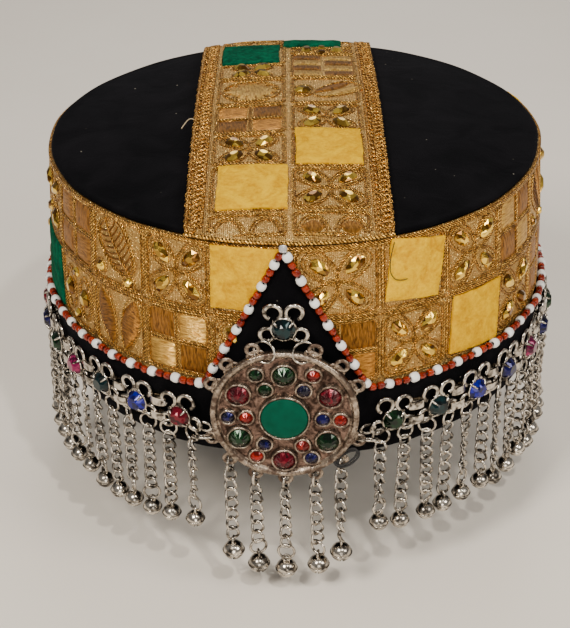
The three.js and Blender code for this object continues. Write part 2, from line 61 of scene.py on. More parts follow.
MM = 0.001
CLOTH_MAP = "Cloth"
ROOT = "root"
TAU = 2.0 * math.pi
FRONT_DEG = -2.8

log = logging.getLogger("cap")


def unit(vectors: Array) -> Array:
    """The same directions, each of length one."""
    return vectors / np.maximum(np.linalg.norm(vectors, axis=-1, keepdims=True), 1e-9)


def running(path: Array) -> Array:
    """The distance along a path from its first point to each of its points."""
    return np.concatenate([[0.0], np.cumsum(np.linalg.norm(np.diff(path, axis=0), axis=1))])


def spun(degrees: float, axis: str) -> Matrix:
    """A turn about X, Y or Z."""
    return Matrix.Rotation(math.radians(degrees), 4, axis)


def axes(x: Array, y: Array, z: Array) -> Matrix:
    """The turn that takes X, Y and Z to three directions."""
    return Matrix(np.column_stack([x, y, z]).tolist()).to_4x4()


STAND = spun(90.0, "X")


def resample(path: Array, step: float, closed: bool) -> Array:
    """Spaces points evenly along a path.

    Args:
        path: the path's points, one a row.
        step: the distance wanted between points.
        closed: True where the path returns to its start.

    Returns:
        The new points; a closed path doesn't repeat its first.
    """
    whole = np.vstack([path, path[:1]]) if closed else path
    along = running(whole)
    count = max(4 if closed else 2, int(round(along[-1] / step)))
    stops = np.linspace(0.0, along[-1], count + 1)
    if closed:
        stops = stops[:-1]
    return np.stack([np.interp(stops, along, whole[:, k]) for k in range(whole.shape[1])], axis=1)


def ellipse(half_u: float, half_v: float, turn: float = 0.0, middle: Pair = (0.0, 0.0),
            count: int = 24) -> Array:
    """The points of an ellipse, counter-clockwise, turned by degrees about its middle."""
    t = np.arange(count) * TAU / count
    return turned(np.stack([half_u * np.cos(t), half_v * np.sin(t)], axis=1), turn) + np.array(middle)


def turned(path: Array, degrees: float) -> Array:
    """A flat path turned counter-clockwise about its origin."""
    c, s = math.cos(math.radians(degrees)), math.sin(math.radians(degrees))
    return path @ np.array([[c, s], [-s, c]])


def smoothed(path: Array, reach: int) -> Array:
    """An evenly spaced path, each point averaged with its neighbours on each side up to the reach."""
    padded = np.pad(path, ((reach, reach), (0, 0)), mode="edge")
    return sum(padded[k:k + len(path)] for k in range(2 * reach + 1)) / (2 * reach + 1)


def petal(start: float, end: float, half_wide: float, turn: float, fullness: float = 0.6) -> Array:
    """A closed petal outline that points away from the origin.

    Args:
        start: where it begins, as a distance from the origin.
        end: where it ends.
        half_wide: half its greatest width.
        turn: its direction in degrees.
        fullness: under 1 for a rounder petal, 1 for a slim one.

    Returns:
        The points, one a row.
    """
    t = np.linspace(0.0, math.pi, 13)
    along = start + (end - start) * (1.0 - np.cos(t)) / 2.0
    across = half_wide * np.sin(t) ** fullness * (0.72 + 0.28 * (1.0 - np.cos(t)) / 1.4)
    right = np.stack([along, -across], axis=1)
    left = np.stack([along[::-1], across[::-1]], axis=1)[1:-1]
    return turned(np.vstack([right, left]), turn)


class Form:
    """A mesh being made in millimetres: its points, its faces with their finish, and cloth coordinates."""

    def __init__(self) -> None:
        """Starts with nothing."""
        self.points: list[Array] = []
        self.faces: list[tuple[Array, Array, int, bool]] = []
        self.count = 0

    def add(self, points: Array, faces: Array, uvs: Optional[Array], finish: int, smooth: bool) -> None:
        """Adds points and faces.

        Args:
            points: the new points, one a row.
            faces: rows of point numbers, counted from the first new point.
            uvs: cloth coordinates, one pair for each corner of each face, or None.
            finish: the number of the faces' finish.
            smooth: True for soft shading.
        """
        corners = np.zeros(faces.shape + (2,)) if uvs is None else uvs
        self.points.append(np.asarray(points, dtype=float))
        self.faces.append((faces + self.count, corners, finish, smooth))
        self.count += len(points)

    def sheet(self, points: Array, u: Array, v: Array, wrap_u: bool = False, wrap_v: bool = False,
              finish: int = 0, smooth: bool = True, swap: bool = False) -> None:
        """Adds a grid of four-sided faces; they face the way of the first direction crossed with the second.

        Args:
            points: an array of places, first direction by second direction by three.
            u: cloth coordinate at each line of the first direction, with one more where it wraps.
            v: the same for the second direction.
            wrap_u: True where the last line joins the first.
            wrap_v: the same for the second direction.
            finish: the number of the faces' finish.
            smooth: True for soft shading.
            swap: True where the cloth's own first direction is the grid's second one.
        """
        wide, high = points.shape[:2]
        i = np.arange(wide if wrap_u else wide - 1)[:, None]
        j = np.arange(high if wrap_v else high - 1)[None, :]
        corners = ((i, j), (i + 1, j), (i + 1, j + 1), (i, j + 1))
        faces = np.stack([(a % wide) * high + b % high for a, b in corners], axis=-1)
        pairs = [(v[b], u[a]) if swap else (u[a], v[b]) for a, b in corners]
        uvs = np.stack([np.stack(np.broadcast_arrays(*pair), axis=-1) for pair in pairs], axis=2)
        self.add(points.reshape(-1, 3), faces.reshape(-1, 4), uvs.reshape(-1, 4, 2), finish, smooth)

    def lid(self, ring: Array, finish: int = 0, smooth: bool = False) -> None:
        """Adds one flat face over a ring of points, counter-clockwise seen from its front."""
        self.add(ring, np.arange(len(ring))[None, :], None, finish, smooth)

    def tube(self, path: Array, normals: Array, radius: float, sides: int = 6, closed: bool = False,
             finish: int = 0, flat: float = 1.0, taper: Optional[Array] = None) -> None:
        """Adds a round wire or cord along a path.

        Args:
            path: the middle line's points, one a row.
            normals: the direction that counts as up at each point, or one for all.
            radius: the wire's radius.
            sides: how many sides it has.
            closed: True where it joins up with itself.
            finish: the number of its finish.
            flat: its thickness along the normal as a share of its width.
            taper: the radius as a share at each point, or None.
        """
        if closed:
            tangent = unit(np.roll(path, -1, axis=0) - np.roll(path, 1, axis=0))
        else:
            tangent = unit(np.gradient(path, axis=0))
        side = unit(np.cross(tangent, np.broadcast_to(normals, path.shape)))
        up = np.cross(side, tangent)
        turn = np.arange(sides) * TAU / sides
        share = np.ones(len(path)) if taper is None else taper
        section = side[:, None] * np.cos(turn)[None, :, None]
        section = section + up[:, None] * (flat * np.sin(turn))[None, :, None]
        rings = path[:, None] + section * (radius * share)[:, None, None]
        along = running(np.vstack([path, path[:1]]))
        self.sheet(rings, along, np.arange(sides + 1) / sides, closed, True, finish)
        if not closed:
            self.lid(rings[0], finish)
            self.lid(rings[-1][::-1], finish)

    def lathe(self, profile: Sequence[Pair], sides: int, finish: int = 0, smooth: bool = True,
              loop: bool = False) -> None:
        """Adds a turned form about +Z.

        Args:
            profile: radius and height pairs, up the outside, then inwards over the top.
            sides: how many sides it has.
            finish: the number of its finish.
            smooth: True for soft shading.
            loop: True where the profile closes on itself, so that the form needs no ends.
        """
        t = np.arange(sides) * TAU / sides
        r, z = np.array(profile).T
        high = np.broadcast_to(z, (sides, len(z)))
        points = np.stack([np.cos(t)[:, None] * r, np.sin(t)[:, None] * r, high], axis=-1)
        around = np.arange(sides + 1) * TAU * float(np.max(r)) / sides
        along = running(np.array([*profile, profile[0]]))
        self.sheet(points, around, along, True, loop, finish, smooth)
        if not loop:
            self.lid(points[::-1, 0], finish)
            self.lid(points[:, -1], finish)

    def stamp(self, other: "Form", matrix: Matrix, finish: Optional[int] = None) -> None:
        """Adds a copy of another form.

        Args:
            other: the form to copy.
            matrix: where the copy goes, in millimetres.
            finish: a finish number for the whole copy, or None to keep its own.
        """
        turn = np.array(matrix)
        base = self.count
        places = np.concatenate(other.points) @ turn[:3, :3].T + turn[:3, 3]
        self.points.append(places)
        self.count += len(places)
        for faces, uvs, own, smooth in other.faces:
            self.faces.append((faces + base, uvs, own if finish is None else finish, smooth))

    def piece(self, name: str, finishes: Sequence["Finish"], slot: str,
              nodes: Iterable[str] = ()) -> bpy.types.Object:
        """Makes the Blender object, riding on the cap.

        Args:
            name: the piece's name.
            finishes: its finishes, in the order of their numbers.
            slot: the record's material slot; not used.
            nodes: the names of the frame's nodes that it stands for.

        Returns:
            The new object.
        """
        mesh = bpy.data.meshes.new(name)
        polygons = [tuple(face) for faces, _, _, _ in self.faces for face in faces.tolist()]
        mesh.from_pydata((np.concatenate(self.points) * MM).tolist(), [], polygons)
        layer = mesh.uv_layers.new(name=CLOTH_MAP)
        layer.data.foreach_set("uv", np.concatenate([uvs.ravel() for _, uvs, _, _ in self.faces]))
        numbers = np.concatenate([np.full(len(faces), finish) for faces, _, finish, _ in self.faces])
        softness = np.concatenate([np.full(len(faces), smooth) for faces, _, _, smooth in self.faces])
        mesh.polygons.foreach_set("material_index", numbers.astype(np.int32))
        mesh.polygons.foreach_set("use_smooth", softness.astype(bool))
        for finish in finishes:
            mesh.materials.append(finish.material())
        mesh.update()
        piece = bpy.data.objects.new(name, mesh)
        bpy.context.scene.collection.objects.link(piece)
        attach(piece, ROOT)
        if nodes:
            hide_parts(*nodes)
        log.info("%s: %d faces", name, len(polygons))
        return piece


class Bench:
    """Lays out one material's nodes."""

    def __init__(self, name: str) -> None:
        """Starts a material.

        Args:
            name: the material's name.
        """
        self.material = bpy.data.materials.new(name)
        self.material.use_nodes = True
        self.tree = self.material.node_tree
        self.shader = self.tree.nodes["Principled BSDF"]
        self.cloth = self.node("ShaderNodeUVMap", uv_map=CLOTH_MAP).outputs["UV"]
        self.place = self.node("ShaderNodeTexCoord").outputs["Object"]

    def node(self, kind: str, **settings: object) -> bpy.types.Node:
        """A new node.

        Args:
            kind: Blender's name for the node's kind.
            settings: values for its settings.

        Returns:
            The node.
        """
        node = self.tree.nodes.new(kind)
        for key, value in settings.items():
            setattr(node, key, value)
        return node

    def feed(self, node: bpy.types.Node, values: dict[object, object]) -> None:
        """Links or sets a node's inputs.

        Args:
            node: the node.
            values: input names or numbers, with a socket to link or a value to set.
        """
        for key, value in values.items():
            if isinstance(value, bpy.types.NodeSocket):
                self.tree.links.new(value, node.inputs[key])
            elif isinstance(value, tuple) and len(value) == 3 and node.inputs[key].type == "RGBA":
                node.inputs[key].default_value = (*value, 1.0)
            else:
                node.inputs[key].default_value = value

    def surface(self, **values: object) -> None:
        """Sets or links the shader's own sockets, named with an underscore for each space."""
        self.feed(self.shader, {key.replace("_", " "): value for key, value in values.items()})

    def math(self, operation: str, *values: object) -> bpy.types.NodeSocket:
        """A sum on numbers.

        Args:
            operation: Blender's name for the sum.
            values: its inputs, in order.

        Returns:
            The result's socket.
        """
        node = self.node("ShaderNodeMath", operation=operation)
        self.feed(node, dict(enumerate(values)))
        return node.outputs[0]

    def axis(self, vector: bpy.types.NodeSocket, name: str) -> bpy.types.NodeSocket:
        """One part of a vector.

        Args:
            vector: the vector's socket.
            name: X, Y or Z.

        Returns:
            The part's socket.
        """
        node = self.node("ShaderNodeSeparateXYZ")
        self.feed(node, {0: vector})
        return node.outputs[name]

    def wave(self, value: bpy.types.NodeSocket, period: float) -> bpy.types.NodeSocket:
        """A ridge from 0 to 1 that repeats at each period of a coordinate."""
        return self.math("ABSOLUTE", self.math("SINE", self.math("MULTIPLY", value, math.pi / period)))

    def noise(self, vector: bpy.types.NodeSocket, size: float, detail: float = 2.0,
              distortion: float = 0.0) -> bpy.types.NodeSocket:
        """Soft noise from 0 to 1.

        Args:
            vector: the coordinates.
            size: the size of its spots, in the coordinates' units.
            detail: how much finer noise is in it.
            distortion: how much it is stirred.

        Returns:
            The noise's socket.
        """
        node = self.node("ShaderNodeTexNoise")
        self.feed(node, {"Vector": vector, "Scale": 1.0 / size, "Detail": detail, "Distortion": distortion})
        return node.outputs["Fac"]

    def speckle(self, vector: bpy.types.NodeSocket, size: float) -> bpy.types.NodeSocket:
        """Distance from scattered points.

        Args:
            vector: the coordinates.
            size: the distance between the points.

        Returns:
            The distance's socket, 0 at each point.
        """
        node = self.node("ShaderNodeTexVoronoi")
        self.feed(node, {"Vector": vector, "Scale": 1.0 / size})
        return node.outputs["Distance"]

    def stretched(self, vector: bpy.types.NodeSocket, factors: Colour) -> bpy.types.NodeSocket:
        """Coordinates multiplied axis by axis.

        Args:
            vector: the coordinates.
            factors: one factor for each axis; under 1 draws the pattern out.

        Returns:
            The new coordinates' socket.
        """
        node = self.node("ShaderNodeVectorMath", operation="MULTIPLY")
        self.feed(node, {0: vector})
        node.inputs[1].default_value = factors
        return node.outputs[0]

    def span(self, value: bpy.types.NodeSocket, low: float, high: float, start: float = 0.0,
             end: float = 1.0) -> bpy.types.NodeSocket:
        """A value stretched from one range to another, and held within it.

        Args:
            value: the value's socket.
            low: the value that becomes start.
            high: the value that becomes end.
            start: the new low end.
            end: the new high end.

        Returns:
            The stretched value's socket.
        """
        node = self.node("ShaderNodeMapRange")
        self.feed(node, {0: value, 1: low, 2: high, 3: start, 4: end})
        return node.outputs[0]

    def blend(self, share: object, first: object, second: object) -> bpy.types.NodeSocket:
        """A mix of two colours.

        Args:
            share: how much of the second, from 0 to 1.
            first: a colour or a socket.
            second: a colour or a socket.

        Returns:
            The mixed colour's socket.
        """
        node = self.node("ShaderNodeMix", data_type="RGBA")
        self.feed(node, {0: share, 6: first, 7: second})
        return node.outputs[2]

    def relief(self, height: bpy.types.NodeSocket, depth: float, strength: float = 1.0,
               under: Optional[bpy.types.NodeSocket] = None) -> bpy.types.NodeSocket:
        """A bumpy normal.

        Args:
            height: the height's socket, from 0 to 1.
            depth: the height's real size, in millimetres.
            strength: how much of it shows.
            under: a normal that this one is laid over.

        Returns:
            The normal's socket.
        """
        node = self.node("ShaderNodeBump")
        self.feed(node, {"Strength": strength, "Distance": depth * MM, "Height": height})
        if under is not None:
            self.feed(node, {"Normal": under})
        return node.outputs["Normal"]


class Finish:
    """A surface finish, made into a material once."""

    made: dict["Finish", bpy.types.Material] = {}

    def material(self) -> bpy.types.Material:
        """Makes the material on first use.

        Returns:
            The Blender material.
        """
        if self not in Finish.made:
            bench = Bench(type(self).__name__)
            self.lay(bench)
            Finish.made[self] = bench.material
        return Finish.made[self]

    def lay(self, bench: Bench) -> None:
        """Lays out the material's nodes; each finish has its own."""
        raise NotImplementedError


@dataclass(frozen=True)
class BlackVelvet(Finish):
    """Matt black cotton velvet with faint brushing, and lint on it."""

    dark: Colour = (0.0008, 0.0008, 0.0011)
    light: Colour = (0.0035, 0.0032, 0.004)
    lint: Colour = (0.32, 0.29, 0.24)

    def lay(self, bench: Bench) -> None:
        """Pile, brushed patches and specks of lint.

        Args:
            bench: the material's nodes.
        """
        brushed = bench.noise(bench.place, 16 * MM, 4.0, 0.6)
        pile = bench.noise(bench.place, 0.45 * MM, 2.0)
        base = bench.blend(bench.span(brushed, 0.35, 0.7), self.dark, self.light)
        near = bench.span(bench.speckle(bench.place, 6.5 * MM), 0.055, 0.03)
        sparse = bench.span(bench.noise(bench.place, 21 * MM, 1.0), 0.52, 0.6)
        base = bench.blend(bench.math("MULTIPLY", near, sparse), base, self.lint)
        normal = bench.relief(pile, 0.25, 0.5, bench.relief(brushed, 1.2, 0.5))
        bench.surface(Base_Color=base, Roughness=1.0, Specular_IOR_Level=0.04, Normal=normal,
                      Sheen_Weight=0.035, Sheen_Roughness=0.5, Sheen_Tint=(0.5, 0.5, 0.6))


@dataclass(frozen=True)
class DyedVelvet(Finish):
    """Short-pile velvet that is crushed here and there."""

    deep: Colour
    bright: Colour

    def lay(self, bench: Bench) -> None:
        """Crushed streaks in colour and relief, and a fine pile.

        Args:
            bench: the material's nodes.
        """
        crushed = bench.noise(bench.place, 7 * MM, 5.0, 1.6)
        grain = bench.noise(bench.place, 1.1 * MM, 3.0)
        pile = bench.noise(bench.place, 0.35 * MM, 1.0)
        mixed = bench.math("ADD", bench.math("MULTIPLY", crushed, 0.65), bench.math("MULTIPLY", grain, 0.35))
        base = bench.blend(bench.span(mixed, 0.36, 0.62), self.deep, self.bright)
        normal = bench.relief(pile, 0.2, 0.55, bench.relief(mixed, 1.3, 0.6))
        bench.surface(Base_Color=base, Roughness=0.95, Specular_IOR_Level=0.05, Normal=normal)


@dataclass(frozen=True)
class GoldGround(Finish):
    """The trim's ground: beige-gold metal threads in a fine ribbed weave."""

    dull: Colour = (0.30, 0.145, 0.035)
    fair: Colour = (0.74, 0.46, 0.145)
    glint: Colour = (1.0, 0.74, 0.27)

    def lay(self, bench: Bench) -> None:
        """Ribs, crossing threads, soiled patches and bright spots; the weave's hollows are painted shade and
        the bright spots are painted glints.

        Args:
            bench: the material's nodes.
        """
        u, v = bench.axis(bench.cloth, "X"), bench.axis(bench.cloth, "Y")
        weave = bench.math("MULTIPLY", bench.wave(u, 0.62), bench.wave(v, 0.5))
        soiled = bench.noise(bench.place, 9 * MM, 4.0)
        glint_spots = bench.noise(bench.place, 0.8 * MM, 3.0)
        # Painted shade: the weave's hollows take the dull colour and its tops the fair one.
        base = bench.blend(bench.span(weave, 0.0, 0.6), self.dull, self.fair)
        base = bench.blend(bench.span(soiled, 0.4, 0.75, 0.0, 0.4), base, self.dull)
        # Painted glints: scattered bright spots of the glint colour in the base colour.
        base = bench.blend(bench.span(glint_spots, 0.54, 0.66), base, self.glint)
        rough = bench.span(glint_spots, 0.4, 0.65, 0.48, 0.16)
        uneven = bench.relief(glint_spots, 0.8, 1.0, bench.relief(soiled, 0.9, 0.4))
        bench.surface(Base_Color=base, Metallic=0.85, Roughness=rough,
                      Normal=bench.relief(weave, 0.25, 0.8, uneven))


@dataclass(frozen=True)
class MetalCord(Finish):
    """A cord wound with flat metal thread, in slanted turns."""

    dark: Colour
    bright: Colour
    pitch: float = 1.3
    roughness: float = 0.36

    def lay(self, bench: Bench) -> None:
        """Slanted winding in relief, with painted shade in the grooves between turns and painted highlight on
        their tops.

        Args:
            bench: the material's nodes.
        """
        along, around = bench.axis(bench.cloth, "X"), bench.axis(bench.cloth, "Y")
        slant = bench.math("ADD", along, bench.math("MULTIPLY", around, self.pitch * 2.0))
        turns = bench.wave(slant, self.pitch)
        worn = bench.noise(bench.place, 1.3 * MM, 3.0)
        # Painted shade and highlight: dark in the grooves between turns, bright on the turns' tops.
        base = bench.blend(bench.span(turns, 0.15, 0.85), self.dark, self.bright)
        base = bench.blend(bench.span(worn, 0.46, 0.62, 0.0, 0.8), base, self.dark)
        rough = bench.span(worn, 0.35, 0.65, self.roughness - 0.04, self.roughness + 0.22)
        normal = bench.relief(turns, 0.35, 1.0, bench.relief(worn, 0.8, 0.9))
        bench.surface(Base_Color=base, Metallic=0.95, Roughness=rough, Normal=normal)


@dataclass(frozen=True)
class SatinStitch(Finish):
    """Satin stitch: flat threads laid side by side."""

    dark: Colour
    bright: Colour
    thread: float = 0.42
    metallic: float = 0.85
    roughness: float = 0.34

    def lay(self, bench: Bench) -> None:
        """Threads that run along the first cloth coordinate, with painted shade between them, and darker
        streaks along them.

        Args:
            bench: the material's nodes.
        """
        across = bench.axis(bench.cloth, "Y")
        threads = bench.wave(across, self.thread)
        drawn = bench.noise(bench.stretched(bench.cloth, (0.22, 1.0, 1.0)), 0.75, 2.0)
        # Painted shade: the colour darkens between the threads; the drawn mask also darkens streaks along
        # them.
        share = bench.math("MULTIPLY", bench.span(threads, 0.0, 0.8, 0.4, 1.0), bench.span(drawn, 0.32, 0.6))
        base = bench.blend(share, self.dark, self.bright)
        normal = bench.relief(threads, 0.2, 0.9, bench.relief(drawn, 0.5, 0.8))
        bench.surface(Base_Color=base, Metallic=self.metallic, Roughness=self.roughness, Normal=normal,
                      Specular_IOR_Level=0.2)


@dataclass(frozen=True)
class FoilStone(Finish):
    """A cut plastic or glass stone with metal foil behind it."""

    deep: Colour
    bright: Colour
    metallic: float = 0.85
    size: float = 1.6

    def lay(self, bench: Bench) -> None:
        """Painted light and dark patches that stand in for reflections changing from facet to facet.

        Args:
            bench: the material's nodes.
        """
        cells = bench.node("ShaderNodeTexVoronoi")
        bench.feed(cells, {"Vector": bench.place, "Scale": 1.0 / (self.size * MM)})
        share = bench.axis(cells.outputs["Color"], "X")
        # Painted reflections: scattered cells of deep and bright colour stand in for lit and dark facets.
        base = bench.blend(bench.span(share, 0.25, 0.8), self.deep, self.bright)
        bench.surface(Base_Color=base, Metallic=self.metallic, Roughness=0.12, Specular_IOR_Level=0.3,
                      Coat_Weight=0.3, Coat_Roughness=0.04)


@dataclass(frozen=True)
class Cabochon(Finish):
    """A flat opaque green stone, polished, with faint clouds."""

    deep: Colour = (0.0, 0.056, 0.030)
    bright: Colour = (0.0, 0.074, 0.042)

    def lay(self, bench: Bench) -> None:
        """Clouds under a polish.

        Args:
            bench: the material's nodes.
        """
        clouds = bench.noise(bench.place, 4 * MM, 3.0)
        base = bench.blend(bench.span(clouds, 0.3, 0.7), self.deep, self.bright)
        bench.surface(Base_Color=base, Roughness=0.4, Specular_IOR_Level=0.04, Coat_Weight=0.03,
                      Coat_Roughness=0.08, Normal=bench.relief(clouds, 0.15, 0.3))


@dataclass(frozen=True)
class OldSilver(Finish):
    """Cast metal with a copper-brown patina, rubbed bright in scattered patches."""

    patina: Colour = (0.095, 0.064, 0.048)
    rubbed: Colour = (0.52, 0.43, 0.34)

    def lay(self, bench: Bench) -> None:
        """Patina patches, pits and rubbed places.

        Args:
            bench: the material's nodes.
        """
        patches = bench.noise(bench.place, 3.2 * MM, 5.0, 0.8)
        pits = bench.noise(bench.place, 0.8 * MM, 3.0)
        mixed = bench.math("ADD", bench.math("MULTIPLY", patches, 0.7), bench.math("MULTIPLY", pits, 0.3))
        base = bench.blend(bench.span(mixed, 0.42, 0.66), self.patina, self.rubbed)
        rough = bench.span(mixed, 0.4, 0.62, 0.42, 0.2)
        normal = bench.relief(pits, 0.2, 0.6, bench.relief(patches, 0.7, 0.5))
        bench.surface(Base_Color=base, Metallic=0.95, Roughness=rough, Normal=normal)


@dataclass(frozen=True)
class BrightSteel(Finish):
    """Plated wire and sheet, bright, with grey patches that are partly worn plating and partly painted dark
    reflection.
    """

    grey: Colour = (0.06, 0.051, 0.042)
    bright: Colour = (0.64, 0.58, 0.50)

    def lay(self, bench: Bench) -> None:
        """Grey patches in colour, gloss and relief: partly worn plating, partly painted dark reflection.

        Args:
            bench: the material's nodes.
        """
        wear_and_dark_reflection = bench.noise(bench.place, 2.4 * MM, 4.0, 0.5)
        fine = bench.noise(bench.place, 0.5 * MM, 2.0)
        # Painted reflection: the grey patches stand partly for worn plating and partly for dark reflections.
        base = bench.blend(bench.span(wear_and_dark_reflection, 0.37, 0.58), self.grey, self.bright)
        rough = bench.span(wear_and_dark_reflection, 0.3, 0.7, 0.3, 0.12)
        bench.surface(Base_Color=base, Metallic=1.0, Roughness=rough, Normal=bench.relief(fine, 0.05, 0.4))


@dataclass(frozen=True)
class SeedGlass(Finish):
    """A small glass bead."""

    deep: Colour
    bright: Colour
    clear: float = 0.0

    def lay(self, bench: Bench) -> None:
        """Slight changes of colour from bead to bead, under a polish.

        Args:
            bench: the material's nodes.
        """
        shade = bench.noise(bench.place, 2.6 * MM, 1.0)
        base = bench.blend(bench.span(shade, 0.35, 0.65), self.deep, self.bright)
        bench.surface(Base_Color=base, Roughness=0.16, Transmission_Weight=self.clear, IOR=1.45,
                      Specular_IOR_Level=0.2, Coat_Weight=0.2, Coat_Roughness=0.05)


@dataclass(frozen=True)
class SewingThread(Finish):
    """Twisted sewing thread."""

    dark: Colour = (0.002, 0.002, 0.0025)
    light: Colour = (0.012, 0.011, 0.012)

    def lay(self, bench: Bench) -> None:
        """Ply along the thread, with painted shade between the plies.

        Args:
            bench: the material's nodes.
        """
        along, around = bench.axis(bench.cloth, "X"), bench.axis(bench.cloth, "Y")
        ply = bench.wave(bench.math("ADD", along, around), 0.6)
        # Painted shade: the colour darkens between the plies.
        base = bench.blend(ply, self.dark, self.light)
        bench.surface(Base_Color=base, Roughness=0.7, Normal=bench.relief(ply, 0.1, 0.6))


@dataclass(frozen=True)
class PaleFloor(Finish):
    """The plain pale surface under the cap."""

    low: Colour = (0.88, 0.81, 0.72)
    high: Colour = (0.93, 0.865, 0.775)

    def lay(self, bench: Bench) -> None:
        """A faint mottling."""
        mottle = bench.noise(bench.place, 60 * MM, 3.0)
        bench.surface(Base_Color=bench.blend(mottle, self.low, self.high), Roughness=0.8)


BLACK_VELVET = BlackVelvet()
YELLOW_VELVET = DyedVelvet((0.56, 0.27, 0.0), (0.80, 0.47, 0.0))
GREEN_VELVET = DyedVelvet((0.0, 0.035, 0.018), (0.0, 0.11, 0.052))
GOLD_GROUND = GoldGround()
COUCHED_CORD = MetalCord((0.15, 0.055, 0.008), (0.95, 0.56, 0.13), 1.2, 0.2)
EDGE_CORD = MetalCord((0.10, 0.034, 0.005), (0.78, 0.40, 0.08), 1.2, 0.22)
BRAID_THREAD = MetalCord((0.16, 0.055, 0.008), (0.92, 0.50, 0.11), 1.3, 0.2)
BROWN_SATIN = SatinStitch((0.11, 0.042, 0.007), (0.46, 0.20, 0.036))
MIDDLE_SATIN = SatinStitch((0.22, 0.085, 0.012), (0.66, 0.30, 0.055))
BRIGHT_SATIN = SatinStitch((0.48, 0.21, 0.03), (1.0, 0.64, 0.16), metallic=0.9, roughness=0.32)
AMBER_FOIL = FoilStone((0.16, 0.065, 0.004), (1.0, 0.66, 0.09), 0.9, 2.2)
RED_FOIL = FoilStone((0.03, 0.0, 0.002), (0.15, 0.001, 0.011), 0.4)
SCARLET_FOIL = FoilStone((0.10, 0.002, 0.001), (0.32, 0.009, 0.004), 0.4)
GREEN_FOIL = FoilStone((0.0, 0.005, 0.001), (0.001, 0.026, 0.005), 0.4)
BLUE_FOIL = FoilStone((0.0006, 0.0005, 0.010), (0.004, 0.003, 0.075), 0.4)
ROYAL_FOIL = FoilStone((0.001, 0.001, 0.05), (0.006, 0.006, 0.27), 0.4)
TEAL_FOIL = FoilStone((0.0, 0.003, 0.004), (0.0006, 0.018, 0.021), 0.4)
PINK_FOIL = FoilStone((0.06, 0.001, 0.02), (0.28, 0.008, 0.085), 0.4)
CABOCHON = Cabochon()
OLD_SILVER = OldSilver()
DARK_COPPER = OldSilver((0.032, 0.018, 0.013), (0.25, 0.16, 0.125))
BRIGHT_STEEL = BrightSteel()
WHITE_BEAD = SeedGlass((0.78, 0.77, 0.75), (0.92, 0.92, 0.90))
RED_BEAD = SeedGlass((0.12, 0.004, 0.0001), (0.31, 0.022, 0.0005), 0.05)
GREY_BEAD = SeedGlass((0.35, 0.34, 0.34), (0.62, 0.62, 0.63), 0.4)
BLACK_THREAD = SewingThread()
PALE_THREAD = SewingThread((0.30, 0.22, 0.12), (0.55, 0.44, 0.28))
PALE_FLOOR = PaleFloor()


@dataclass(frozen=True)
class CapShape:
    """The cloth body's shape, with the slight unevenness of sewn cloth."""

    wall: tuple[Pair, ...] = ((-81.0, 88.4), (-53.0, 90.8), (-27.0, 90.0), (0.5, 88.2), (2.0, 87.2))
    hem_z: float = -81.0
    cloth: float = 2.0
    crown_edge_r: float = 87.2
    crown_edge_z: float = 2.0
    crown_rise: float = 7.0
    edge_drop: float = 0.12
    ripple: float = 0.35

    def wall_radius(self, degrees: Array, z: Array) -> Array:
        """The wall's outer radius.

        Args:
            degrees: the angle from the front.
            z: the height.

        Returns:
            The radius at each place.
        """
        t = np.radians(degrees)
        plain = np.interp(z, [row[0] for row in self.wall], [row[1] for row in self.wall])
        uneven = np.sin(3 * t + 1.0) + 0.6 * np.sin(7 * t + 2.0 + z / 30.0) + 0.35 * np.sin(17 * t - z / 9.0)
        return plain + self.ripple * uneven

    def on_wall(self, degrees: Array, z: Array, lift: Array) -> Array:
        """Places on the wall.

        Args:
            degrees: the angle from the front, towards +X.
            z: the height.
            lift: the distance out from the cloth.

        Returns:
            The places, with a last axis of three.
        """
        degrees, z, lift = np.broadcast_arrays(np.asarray(degrees, float), z, lift)
        r = self.wall_radius(degrees, z) + lift
        t = np.radians(degrees)
        return np.stack([r * np.sin(t), -r * np.cos(t), z], axis=-1)

    def crown_height(self, x: Array, y: Array) -> Array:
        """The crown's height.

        Args:
            x: places along X.
            y: places along Y.

        Returns:
            The height at each place.
        """
        share = (x * x + y * y) / self.crown_edge_r ** 2
        uneven = np.sin(x / 17.0 + 0.7) * np.cos(y / 21.0) + 0.5 * np.sin(x / 9.0 - y / 12.0)
        over = np.maximum(0.0, np.sqrt(x * x + y * y) - self.crown_edge_r)
        smooth = self.crown_edge_z + self.crown_rise * (1.0 - share) - self.edge_drop * over ** 2
        return smooth + self.ripple * uneven * (1.0 - share)

    def on_crown(self, x: Array, y: Array, lift: Array) -> Array:
        """Places on the crown at x and y, lifted above the cloth, with a last axis of three."""
        x, y, lift = np.broadcast_arrays(np.asarray(x, float), y, lift)
        return np.stack([x, y, self.crown_height(x, y) + lift], axis=-1)


SHAPE = CapShape()


